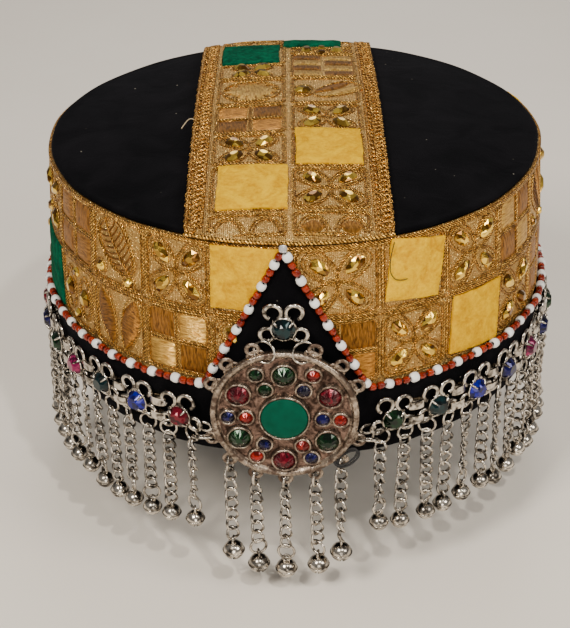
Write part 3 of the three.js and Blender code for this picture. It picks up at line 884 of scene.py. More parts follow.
@dataclass
class CapBody:
    """The velvet crown and wall, in one."""

    columns: int = 180
    outside_rows: int = 14
    inside_rows: int = 10
    crown_rings: int = 18
    wall_top_z: float = 0.5
    inside_top_z: float = -2.5
    middle_r: float = 0.6
    under_radii: tuple[float, ...] = (0.6, 20.0, 40.0, 60.0, 74.0, 82.0)
    edge_roll: tuple[Pair, ...] = ((0.8, 0.9), (1.2, 1.7), (1.7, 1.6), (2.05, 0.9))

    def build(self) -> bpy.types.Object:
        """Makes the shell: up the outside, over the crown, then back under it and down the inside.

        Returns:
            The shell's object.
        """
        t = np.linspace(0.0, 360.0, self.columns + 1)[:-1]
        heights = np.linspace(SHAPE.hem_z, self.wall_top_z, self.outside_rows)
        rows = [SHAPE.on_wall(t, z, 0.0) for z in heights]
        rows.extend(SHAPE.on_wall(t, z, lift) for z, lift in self.edge_roll)
        radii = SHAPE.crown_edge_r * np.sqrt(np.linspace(1.0, 0.02, self.crown_rings))
        rows.extend(self.crown_ring(t, r, 0.0) for r in np.append(radii, self.middle_r))
        form = Form()
        form.lid(rows[-1], 0, True)
        inner = [self.crown_ring(t, r, -SHAPE.cloth) for r in self.under_radii]
        form.lid(inner[0][::-1], 0, True)
        for z in np.linspace(self.inside_top_z, SHAPE.hem_z, self.inside_rows):
            inner.append(SHAPE.on_wall(t, z, -SHAPE.cloth))
        for part in (rows, [*inner, rows[0]]):
            places = np.stack(part, axis=1)
            around = np.radians(np.append(t, 360.0)) * SHAPE.crown_edge_r
            form.sheet(places, around, running(places[0]), True)
        return form.piece("velvet_crown_and_wall", [BLACK_VELVET], "black_velvet", ["cap_shell"])

    def crown_ring(self, t: Array, r: float, lift: float) -> Array:
        """A ring of places on the crown, one for each angle from the front."""
        return SHAPE.on_crown(r * np.sin(np.radians(t)), -r * np.cos(np.radians(t)), lift)


class Motif(Enum):
    """What a cell of the trim holds."""

    FOUR_STONES = "four stones in looped petals"
    BROWN_CHECKS = "two by two checks, brown and plain"
    GOLD_CHECKS = "two by two checks, brown and bright gold"
    FEATHER = "a feathered leaf"
    SATIN_LEAVES = "two broad satin leaves"
    OVALS = "two oval loops, each with a stone"
    ROSETTE = "a ring of loops about a stone"
    STRIPES = "stripes of satin"
    ARCHES = "two corded arches on plain ground"
    SATIN_ARCHES = "two corded arches filled with satin"
    SPLIT_LEAF = "a leaf in two satins beside a stone in loops"
    PATCH = "nothing, under a velvet patch"


@dataclass(frozen=True)
class Cell:
    """One cell of the trim, in cloth millimetres."""

    u: float
    v: float
    half_u: float
    half_v: float
    motif: Motif


@dataclass(frozen=True)
class Ground:
    """A sewn-on layer that embroidery stands on, addressed in cloth millimetres."""

    at: Places

    def places(self, path: Array, lift: float) -> tuple[Array, Array, Array]:
        """Places and directions on the layer.

        Args:
            path: flat points, one a row.
            lift: the distance out from the layer.

        Returns:
            The places, the direction of the first coordinate, and the outward direction, one a row each.
        """
        u, v = path[:, 0], path[:, 1]
        small = 0.05
        along_u = unit(self.at(u + small, v, lift) - self.at(u - small, v, lift))
        along_v = self.at(u, v + small, lift) - self.at(u, v - small, lift)
        return self.at(u, v, lift), along_u, unit(np.cross(along_u, along_v))


def cut_stone(outline: Array, high: float, table: float = 0.5, girdle: float = 0.25) -> Form:
    """A cut stone: a girdle, two rings of facets and a table, about +Z.

    Args:
        outline: its flat outline, counter-clockwise, one point a row.
        high: its height.
        table: the table's size as a share of the outline.
        girdle: the girdle's height as a share of the stone's.

    Returns:
        The stone.
    """
    form = Form()
    count = len(outline)
    between = (outline + np.roll(outline, -1, axis=0)) / 2.0
    girdle_z = high * girdle
    middle_z = girdle_z + (high - girdle_z) * 0.62
    rings = ((outline, 0.0), (outline, girdle_z), (between * (0.5 + table / 2.0), middle_z),
             (outline * table, high))
    low, rim, middle, top = (np.column_stack([flat, np.full(count, z)]) for flat, z in rings)
    points = np.vstack([low, rim, middle, top])
    i = np.arange(count)
    j = (i + 1) % count
    before = (i - 1) % count
    facets = (
        (i, j, j + count, i + count),
        (i + count, j + count, i + 2 * count),
        (i + 2 * count, j + 3 * count, i + 3 * count),
        (i + count, i + 2 * count, i + 3 * count, before + 2 * count),
    )
    for corners in facets:
        form.add(points, np.column_stack(corners), None, 0, False)
    form.lid(top, 0, False)
    form.lid(low[::-1], 0, False)
    return form


@dataclass
class Embroidery:
    """Cords, satin and stones worked on a ground."""

    ground: Ground
    seed: int
    cord_r: float = 0.38
    step: float = 1.15
    forms: dict[str, Form] = field(default_factory=lambda: {"work": Form(), "stones": Form()})
    keep: Callable[[float, float], bool] = lambda u, v: True

    CORD, BROWN, BRIGHT, FINE, MIDDLE = range(5)

    def __post_init__(self) -> None:
        """Cuts the stones and seeds the hand's small errors."""
        self.chance = random.Random(self.seed)
        self.marquise = cut_stone(petal(-4.1, 4.1, 2.45, 0.0, 0.8)[::3], 1.8, 0.42)
        self.round = cut_stone(ellipse(1.9, 1.9, count=8), 1.4, 0.5)
        self.oval = cut_stone(ellipse(2.5, 3.5, count=10), 1.8, 0.5)

    def cord(self, cell: Cell, path: Array, closed: bool = True, radius: float = 0.0, finish: int = 0,
             lift: float = 0.0) -> None:
        """Lays a cord along a path in a cell.

        Args:
            cell: the cell.
            path: flat points about the cell's middle.
            closed: True where the cord joins up with itself.
            radius: the cord's radius, or 0 for the usual one.
            finish: the number of its finish.
            lift: the distance out from the ground.
        """
        r = radius or self.cord_r
        flat = resample(path, self.step, closed) + np.array([cell.u, cell.v])
        kept = np.array([self.keep(u, v) for u, v in flat])
        if not kept.all():
            flat, closed = self.longest_run(flat, kept, closed), False
        if len(flat) < 4:
            return
        places, _, normals = self.ground.places(flat, lift + 0.6 * r)
        self.forms["work"].tube(places, normals, r, 6, closed, finish)

    @staticmethod
    def longest_run(flat: Array, kept: Array, closed: bool) -> Array:
        """The longest unbroken part of a path.

        Args:
            flat: the path's points.
            kept: False at each point that is left out.
            closed: True where the path returns to its start.

        Returns:
            The part's points.
        """
        start = int(np.argmin(kept)) if closed else 0
        flat, kept = np.roll(flat, -start, axis=0), np.append(np.roll(kept, -start), False)
        best, first = (0, 0), 0
        for i, shown in enumerate(kept):
            if not shown:
                best = max(best, (i - first, first))
                first = i + 1
        return flat[best[1]:best[1] + best[0]]

    def pad(self, cell: Cell, middle: Pair, half: Pair, turn: float, finish: int, high: float = 0.55,
            pointed: bool = False) -> None:
        """Lays a raised pad of satin stitch.

        Args:
            cell: the cell.
            middle: the pad's middle about the cell's.
            half: half its length and half its width; the threads run across its length.
            turn: its turn in degrees.
            finish: the number of its finish.
            high: how far it stands up.
            pointed: True for a leaf with pointed ends, False for a rectangle.
        """
        s = np.linspace(-1.0, 1.0, 13 if pointed else 9)
        w = np.linspace(-1.0, 1.0, 7)
        grid_s, grid_w = np.meshgrid(s, w, indexing="ij")
        wide = np.maximum(1.0 - np.abs(grid_s) ** 1.8, 0.02) if pointed else np.ones_like(grid_s)
        flat = np.stack([grid_s * half[0], grid_w * half[1] * wide], axis=-1).reshape(-1, 2)
        flat = turned(flat, turn) + np.array(middle) + np.array([cell.u, cell.v])
        if not self.keep(*flat.mean(axis=0)):
            return
        edge = (1.0 - grid_w ** 4) * (1.0 - grid_s ** 6)
        lift = (0.06 + high * edge ** 0.6).reshape(-1)
        points = self.ground.at(flat[:, 0], flat[:, 1], lift).reshape(len(s), len(w), 3)
        self.forms["work"].sheet(points, s * half[0], w * half[1], finish=finish, swap=True)

    def stone(self, cell: Cell, middle: Pair, turn: float, shape: Form) -> None:
        """Glues on a stone.

        Args:
            cell: the cell.
            middle: its place about the cell's middle.
            turn: its turn in degrees.
            shape: the stone.
        """
        spot = np.array([middle]) + np.array([[cell.u, cell.v]])
        if not self.keep(*spot[0]):
            return
        places, along, normals = self.ground.places(spot, 0.05)
        spin = spun(turn + self.chance.uniform(-5.0, 5.0), "Z")
        tilt = spun(self.chance.uniform(-4.0, 4.0), "X")
        seat = axes(along[0], np.cross(normals[0], along[0]), normals[0])
        self.forms["stones"].stamp(shape, Matrix.Translation(Vector(places[0])) @ seat @ spin @ tilt)

    def border(self, cell: Cell) -> None:
        """Frames a cell with a couched cord.

        Args:
            cell: the cell.
        """
        corner = 1.4
        for inset, radius, finish in ((0.55, 0.36, self.CORD), (1.45, 0.28, self.FINE)):
            a, b = cell.half_u - inset, cell.half_v - inset
            path = np.array([(-a, -b + corner), (-a + corner, -b), (a - corner, -b), (a, -b + corner),
                             (a, b - corner), (a - corner, b), (-a + corner, b), (-a, b - corner)])
            self.cord(cell, path, radius=radius, finish=finish)

    def four_stones(self, cell: Cell) -> None:
        """Four stones on the diagonals, each in a double looped petal.

        Args:
            cell: the cell.
        """
        scale = min(cell.half_u, cell.half_v) / 12.5
        for k in range(4):
            turn = 45.0 + 90.0 * k
            aim = np.array([math.cos(math.radians(turn)), math.sin(math.radians(turn))])
            self.stone(cell, tuple(aim * 7.9 * scale), turn, self.marquise)
            self.cord(cell, petal(1.4 * scale, 13.0 * scale, 3.5 * scale, turn, 0.7), radius=0.33)
            self.cord(cell, petal(0.5 * scale, 14.2 * scale, 4.5 * scale, turn, 0.7), radius=0.28,
                      finish=self.FINE)

    def checks(self, cell: Cell, bright: bool) -> None:
        """Two by two checks of satin, in turned directions.

        Args:
            cell: the cell.
            bright: True where the light checks are bright gold, False where they are a middle gold.
        """
        half = (cell.half_u / 2.0 - 1.5, cell.half_v / 2.0 - 1.5)
        light = self.BRIGHT if bright else self.MIDDLE
        for i, j in ((-1, -1), (-1, 1), (1, -1), (1, 1)):
            spot = (i * cell.half_u / 2.0 * 0.94, j * cell.half_v / 2.0 * 0.94)
            if (i == j) != (bright and cell.u < 0.0):
                self.pad(cell, spot, half, 0.0, self.BROWN)
            else:
                self.pad(cell, spot, (half[1], half[0]), 90.0, light)
        for shift in (-0.45, 0.45):
            across = np.array([(-cell.half_u + 1.4, shift), (cell.half_u - 1.4, shift)])
            upright = np.array([(shift, -cell.half_v + 1.4), (shift, cell.half_v - 1.4)])
            for path in (across, upright):
                self.cord(cell, path, False, 0.33, self.CORD if shift > 0 else self.FINE)

    def feather(self, cell: Cell) -> None:
        """A leaf with a vein and barbs, and two stones beside it.

        Args:
            cell: the cell.
        """
        long = min(cell.half_u, cell.half_v) * 0.86
        aim, wide = 124.0, long * 0.74
        middle = np.array([0.0, cell.half_v * 0.14])
        self.cord(cell, petal(-long, long, wide, aim, 0.7) + middle)
        inner = petal(-long + 1.2, long - 1.2, wide - 1.2, aim, 0.7) + middle
        self.cord(cell, inner, radius=0.3, finish=self.FINE)
        vein = np.array([(-long, 0.0), (0.0, 0.5), (long, 0.0)])
        self.cord(cell, turned(vein, aim) + middle, False, finish=self.FINE)
        for k in range(8):
            start = -long * 0.78 + k * long * 0.19
            reach = long * (0.56 - 0.04 * abs(k - 3))
            for side in (-1.0, 1.0):
                barb = np.array([(start, 0.0), (start + reach * 0.15, side * reach * 0.55),
                                 (start + reach * 0.4, side * reach)])
                self.cord(cell, turned(barb, aim) + middle, False, 0.32, self.BROWN)
        for across, up in ((-0.62, -0.6), (0.44, -0.76)):
            spot = (across * cell.half_u, up * cell.half_v)
            self.stone(cell, spot, 120.0, self.round)
            self.cord(cell, ellipse(2.9, 2.5, middle=spot), radius=0.3)

    def satin_leaves(self, cell: Cell) -> None:
        """Two broad satin leaves with corded edges.

        Args:
            cell: the cell.
        """
        long = min(cell.half_u, cell.half_v) * 0.86
        for side in (-1.0, 1.0):
            spot = (side * cell.half_u * 0.44, 0.0)
            self.pad(cell, spot, (long, long * 0.42), 90.0 - side * 14.0, self.BROWN, 0.8, True)
            edge = petal(-long, long, long * 0.42, 90.0 - side * 14.0, 1.0) + np.array(spot)
            self.cord(cell, edge, radius=0.36)

    def ovals(self, cell: Cell) -> None:
        """Two oval loops, each with a stone.

        Args:
            cell: the cell.
        """
        for side in (-1.0, 1.0):
            spot = (side * cell.half_u * 0.46, 0.0)
            self.cord(cell, ellipse(cell.half_u * 0.36, cell.half_v * 0.68, middle=spot))
            self.cord(cell, ellipse(cell.half_u * 0.27, cell.half_v * 0.56, middle=spot), radius=0.34,
                      finish=self.FINE)
            self.stone(cell, spot, 0.0, self.oval)
            for end in (-1.0, 1.0):
                self.stone(cell, (0.0, end * cell.half_v * 0.66), 0.0, self.round)

    def rosette(self, cell: Cell) -> None:
        """A ring of loops about one stone.

        Args:
            cell: the cell.
        """
        reach = min(cell.half_u, cell.half_v) * 0.84
        self.pad(cell, (0.0, 0.0), (reach * 0.86, reach * 0.8), 0.0, self.BRIGHT, 0.6, True)
        self.cord(cell, ellipse(reach, reach * 0.9, count=20), radius=0.44)
        for k in range(12):
            self.cord(cell, petal(2.0, reach, reach * 0.2, 30.0 * k), radius=0.34, finish=k % 2 * self.FINE)

    def stripes(self, cell: Cell) -> None:
        """Stripes of brown and bright satin.

        Args:
            cell: the cell.
        """
        rows = 4
        high = (cell.half_v - 1.2) / rows
        for k in range(rows):
            v = (k - (rows - 1) / 2.0) * 2.0 * high
            for side in (-1.0, 1.0):
                finish = self.BROWN if (k + (side > 0)) % 2 else self.BRIGHT
                self.pad(cell, (side * cell.half_u * 0.47, v), (cell.half_u * 0.42, high * 0.84), 0.0, finish)

    def arches(self, cell: Cell, filled: bool) -> None:
        """Two corded arches that open towards the crown's edge.

        Args:
            cell: the cell.
            filled: True where satin fills them.
        """
        t = np.linspace(0.0, math.pi, 15)
        foot = -cell.half_v * 0.98 if cell.v < 0 else cell.half_v * 0.98
        rise = (1.62 if cell.v < 0 else -1.62) * cell.half_v
        for side in (-1.0, 1.0):
            for wide, high, r, finish in ((0.43, 1.0, 0.38, self.CORD), (0.34, 0.86, 0.3, self.FINE)):
                path = np.stack([side * cell.half_u * 0.47 + cell.half_u * wide * np.cos(t),
                                 foot + rise * high * np.sin(t)], axis=1)
                self.cord(cell, path, False, r, finish)
            if filled:
                spot = (side * cell.half_u * 0.47, foot + rise * 0.4)
                self.pad(cell, spot, (cell.half_u * 0.28, abs(rise) * 0.34), 0.0, self.MIDDLE, 0.5, True)

    def split_leaf(self, cell: Cell) -> None:
        """A broad leaf, half brown and half bright, beside a stone in loops.

        Args:
            cell: the cell.
        """
        long = min(cell.half_u, cell.half_v) * 0.8
        spot = np.array([cell.half_u * 0.36, 0.0])
        self.cord(cell, petal(-long, long, long * 0.62, 38.0, 0.8) + spot)
        for side, finish in ((1.0, self.BROWN), (-1.0, self.BRIGHT)):
            shift = turned(np.array([[0.0, side * long * 0.26]]), 38.0)[0] + spot
            self.pad(cell, tuple(shift), (long * 0.86, long * 0.25), 38.0, finish, 0.6, True)
        gem = (-cell.half_u * 0.62, -cell.half_v * 0.05)
        self.stone(cell, gem, 90.0, self.oval)
        for scale in (1.0, 1.35):
            self.cord(cell, ellipse(3.1 * scale, 4.4 * scale, middle=gem), radius=0.36)

    def work(self, cell: Cell) -> None:
        """Works one cell.

        Args:
            cell: the cell.
        """
        self.border(cell)
        makers: dict[Motif, Callable[[Cell], None]] = {
            Motif.FOUR_STONES: self.four_stones,
            Motif.BROWN_CHECKS: lambda c: self.checks(c, False),
            Motif.GOLD_CHECKS: lambda c: self.checks(c, True),
            Motif.FEATHER: self.feather,
            Motif.SATIN_LEAVES: self.satin_leaves,
            Motif.OVALS: self.ovals,
            Motif.ROSETTE: self.rosette,
            Motif.STRIPES: self.stripes,
            Motif.ARCHES: lambda c: self.arches(c, False),
            Motif.SATIN_ARCHES: lambda c: self.arches(c, True),
            Motif.SPLIT_LEAF: self.split_leaf,
            Motif.PATCH: lambda c: None,
        }
        makers[cell.motif](cell)

    def pieces(self, name: str) -> list[bpy.types.Object]:
        """Makes the objects.

        Args:
            name: the start of their names.

        Returns:
            The needlework and the stones.
        """
        threads = [COUCHED_CORD, BROWN_SATIN, BRIGHT_SATIN, EDGE_CORD, MIDDLE_SATIN]
        work = self.forms["work"].piece(f"{name}_needlework", threads, "gold_trim")
        stones = self.forms["stones"].piece(f"{name}_stones", [AMBER_FOIL], "gold_trim")
        return [work, stones]


@dataclass
class BrowBand:
    """The black velvet band with its front peak, and the seed beads along its edge."""

    top_z: float = -53.0
    thick: float = 1.5
    lift: float = 2.2
    hem_lift: float = 1.1
    seam_z: float = -56.5
    apex_z: float = -1.5
    peak_half_deg: float = 16.6
    columns: int = 240
    cloth_r: float = 92.0
    overlap: float = 4.0
    creases: float = 46.0
    crease_deep: float = 0.25
    crease_up: float = 6.0
    crease_wide: float = 7.0
    bead_pitch: float = 3.05
    bead_lift: float = 3.9
    bead_up: float = 0.9
    bead_apex_up: float = 2.2
    bead_line_r: float = 94.0
    bead_hole_r: float = 0.95
    bead_half: Pair = (0.6, 1.05)
    white_size: Pair = (1.12, 1.42)
    red_size: Pair = (0.84, 1.2)
    thread_r: float = 0.3

    def top(self, degrees: Array) -> Array:
        """The height of the band's upper edge at angles from the front."""
        away = np.abs((np.asarray(degrees) - FRONT_DEG + 180.0) % 360.0 - 180.0)
        return self.top_z + np.maximum(0.0, 1.0 - away / self.peak_half_deg) * (self.apex_z - self.top_z)

    def covers(self, degrees: float, z: float) -> bool:
        """True where the band lies over the trim at an angle from the front and a height."""
        return bool(z < self.top(degrees) - self.overlap)

    def lift_at(self, z: Array) -> Array:
        """How far the band's inside stands off the wall at each height."""
        share = np.clip((z - SHAPE.hem_z) / (self.seam_z - SHAPE.hem_z), 0.0, 1.0)
        return self.hem_lift + share * (self.lift - self.hem_lift)

    def build(self) -> list[bpy.types.Object]:
        """Makes the band and its beads.

        Returns:
            The band, the beads and their thread.
        """
        half = self.peak_half_deg
        peak = np.linspace(FRONT_DEG - half, FRONT_DEG + half, 41)
        back = np.linspace(FRONT_DEG + half, FRONT_DEG - half + 360.0, self.columns)[1:-1]
        t = np.append(peak, back)
        top = self.top(t)
        shares = np.array([0.0, 0.015, 0.12, 0.25, 0.4, 0.5])
        low = SHAPE.hem_z + (self.seam_z - SHAPE.hem_z) * shares[:, None] * 2.0 * np.ones_like(t)
        up = np.linspace(0.0, 1.0, 11)[1:]
        high = self.seam_z + (top[None, :] - self.seam_z) * up[:, None]
        z = np.vstack([low, high])
        full = np.full(len(z), self.thick)
        full[[0, -1]] = self.thick * 0.55
        fade = np.exp(-((z - SHAPE.hem_z - self.crease_up) / self.crease_wide) ** 2)
        crease = self.crease_deep * np.sin(np.radians(t) * self.creases)[None, :] * fade
        outer = SHAPE.on_wall(t[None, :], z, self.lift_at(z) + full[:, None] + crease)
        inner = SHAPE.on_wall(t[None, :], z[::-1], self.lift_at(z[::-1]) + 0.15)
        loop = np.concatenate([outer, inner], axis=0).transpose(1, 0, 2)
        v = np.concatenate([z[:, 0], 2.0 * z[-1, 0] - z[::-1, 0], [0.0]])
        form = Form()
        form.sheet(loop, np.radians(np.append(t, t[0] + 360.0)) * self.cloth_r, v, True, True)
        band = form.piece("velvet_brow_band", [BLACK_VELVET], "black_velvet", ["velvet_band"])
        return [band, *self.beads()]

    def edge(self) -> Array:
        """The beads' string, from the back of the cap round the front and back again.

        Returns:
            Angles and heights, one pair a row.
        """
        base = self.top_z + self.bead_up
        half = self.peak_half_deg + 0.5
        left = np.linspace(FRONT_DEG - 180.0, FRONT_DEG - half, 120)
        right = np.linspace(FRONT_DEG + half, FRONT_DEG + 180.0, 120)
        path = [(t, base) for t in left]
        path.append((FRONT_DEG, self.apex_z + self.bead_apex_up))
        path.extend((t, base) for t in right)
        return np.array(path)

    def beads(self) -> list[bpy.types.Object]:
        """Strings white and red beads along the edge, one white to two red.

        Returns:
            The beads and their thread.
        """
        bead = Form()
        t = np.arange(8) * TAU / 8
        half_wide, half_long = self.bead_half
        profile = [(self.bead_hole_r + half_wide * math.cos(a), half_long * math.sin(a)) for a in t]
        bead.lathe(profile, 12, loop=True)
        flat = self.edge() * np.array([math.pi / 180.0 * self.bead_line_r, 1.0])
        path = resample(flat, self.bead_pitch, False)
        degrees = np.degrees(path[:, 0] / self.bead_line_r)
        places = SHAPE.on_wall(degrees, path[:, 1], self.bead_lift)
        outwards = unit(places * np.array([1.0, 1.0, 0.0]))
        tangent = unit(np.gradient(places, axis=0))
        form = Form()
        chance = random.Random(5)
        apex = int(np.argmax(path[:, 1]))
        for i, (place, along) in enumerate(zip(places, tangent)):
            side = unit(np.cross(along, outwards[i]))
            seat = axes(side, np.cross(side, along), along)
            size = chance.uniform(0.94, 1.06)
            white = i % 3 == 0
            girth, length = self.white_size if white else self.red_size
            shift = Vector(outwards[i]) * chance.uniform(-0.2, 0.2)
            shift.z += chance.uniform(-0.25, 0.25)
            tilt = spun(chance.uniform(-14.0, 14.0), "Y")
            scale = Matrix.Diagonal((size * girth, size * girth, size * length, 1.0))
            finish = 2 if i == apex else (0 if white else 1)
            form.stamp(bead, Matrix.Translation(Vector(place) + shift) @ seat @ tilt @ scale, finish)
        string = Form()
        string.tube(places, outwards, self.thread_r, 5)
        return [
            form.piece("brow_band_seed_beads", [WHITE_BEAD, RED_BEAD, GREY_BEAD], "black_velvet"),
            string.piece("brow_band_bead_thread", [BLACK_THREAD], "black_velvet"),
        ]


BAND = BrowBand()


@dataclass
class SideTrim:
    """The gold trim round the side, in two rows of cells."""

    low_z: float = -55.5
    high_z: float = 0.5
    lift: float = 0.5
    thick: float = 1.2
    cloth_r: float = 91.7
    front: tuple[float, ...] = (-66.0, -50.0, -34.0, -18.3, -1.0, 17.3, 32.8, 49.0, 65.0)
    back_columns: int = 14
    upper: Pair = (-25.6, 0.2)
    lower: Pair = (-51.4, -26.2)

    SEAMS = ((0.1, 0.45, Embroidery.FINE), (-0.75, 0.34, Embroidery.CORD), (-25.9, 0.38, Embroidery.FINE))
    UPPER = (
        Motif.BROWN_CHECKS, Motif.FEATHER, Motif.FOUR_STONES, Motif.PATCH, Motif.FOUR_STONES, Motif.PATCH,
        Motif.FOUR_STONES, Motif.GOLD_CHECKS, Motif.FEATHER, Motif.FOUR_STONES, Motif.PATCH,
        Motif.BROWN_CHECKS, Motif.FOUR_STONES, Motif.FEATHER, Motif.GOLD_CHECKS, Motif.FOUR_STONES,
        Motif.PATCH, Motif.FOUR_STONES, Motif.BROWN_CHECKS, Motif.FEATHER, Motif.GOLD_CHECKS,
        Motif.FOUR_STONES,
    )
    LOWER = (
        Motif.OVALS, Motif.SATIN_LEAVES, Motif.GOLD_CHECKS, Motif.FOUR_STONES, Motif.BROWN_CHECKS,
        Motif.FOUR_STONES, Motif.PATCH, Motif.FOUR_STONES, Motif.BROWN_CHECKS, Motif.SATIN_LEAVES,
        Motif.FOUR_STONES, Motif.OVALS, Motif.GOLD_CHECKS, Motif.PATCH, Motif.FOUR_STONES, Motif.SATIN_LEAVES,
        Motif.GOLD_CHECKS, Motif.OVALS, Motif.FOUR_STONES, Motif.PATCH, Motif.FOUR_STONES, Motif.PATCH,
    )

    def bounds_deg(self) -> list[float]:
        """The angles between the cells, all the way round.

        Returns:
            The angles from the front.
        """
        start, end = self.front[-1], self.front[0] + 360.0
        step = (end - start) / self.back_columns
        return [*self.front, *(start + step * (k + 1) for k in range(self.back_columns))]

    def mm(self, degrees: float) -> float:
        """An angle in degrees as a length of cloth."""
        return math.radians(degrees) * self.cloth_r

    def cells(self) -> list[Cell]:
        """The cells of both rows.

        Returns:
            The cells.
        """
        bounds = self.bounds_deg()
        cells = []
        for (low, high), motifs in ((self.upper, self.UPPER), (self.lower, self.LOWER)):
            for k, motif in enumerate(motifs):
                a, b = self.mm(bounds[k]), self.mm(bounds[k + 1])
                cells.append(Cell((a + b) / 2, (low + high) / 2, (b - a) / 2, (high - low) / 2, motif))
        return cells

    def at(self, u: Array, v: Array, lift: Array) -> Array:
        """Places on the trim's face, from lengths of cloth round the cap, heights and lifts."""
        return SHAPE.on_wall(np.degrees(np.asarray(u) / self.cloth_r), v, self.lift + self.thick + lift)

    def build(self) -> list[bpy.types.Object]:
        """Makes the trim.

        Returns:
            The ground, its needlework and its stones.
        """
        start = self.front[0]
        t = np.linspace(start, start + 360.0, 353)[:-1]
        z = np.linspace(self.low_z, self.high_z, 31)
        face = self.at(np.radians(t)[None, :] * self.cloth_r, z[:, None], 0.0)
        back = SHAPE.on_wall(t[None, :], z[::-1][:, None], self.lift)
        loop = np.concatenate([face, back], axis=0).transpose(1, 0, 2)
        v = np.concatenate([z, 2.0 * z[-1] - z[::-1], [0.0]])
        form = Form()
        form.sheet(loop, np.radians(np.append(t, start + 360.0)) * self.cloth_r, v, True, True)
        ground = form.piece("side_trim_ground", [GOLD_GROUND], "gold_trim", ["side_trim"])
        work = Embroidery(Ground(self.at), 11, keep=self.shows)
        for cell in self.cells():
            work.work(cell)
        round_path = np.column_stack([np.radians(t) * self.cloth_r, np.zeros_like(t)])
        for height, r, finish in self.SEAMS:
            places, _, normals = work.ground.places(round_path + np.array([0.0, height]), 0.3)
            visible = np.array([not BAND.covers(a, height) for a in t])
            order = np.roll(np.arange(len(t)), -int(np.argmin(visible)))
            order = order[visible[order]]
            work.forms["work"].tube(places[order], normals[order], r, 6, bool(visible.all()), finish)
        return [ground, *work.pieces("side_trim")]

    def shows(self, u: float, v: float) -> bool:
        """True where the band leaves the trim in view."""
        return not BAND.covers(math.degrees(u / self.cloth_r), v)


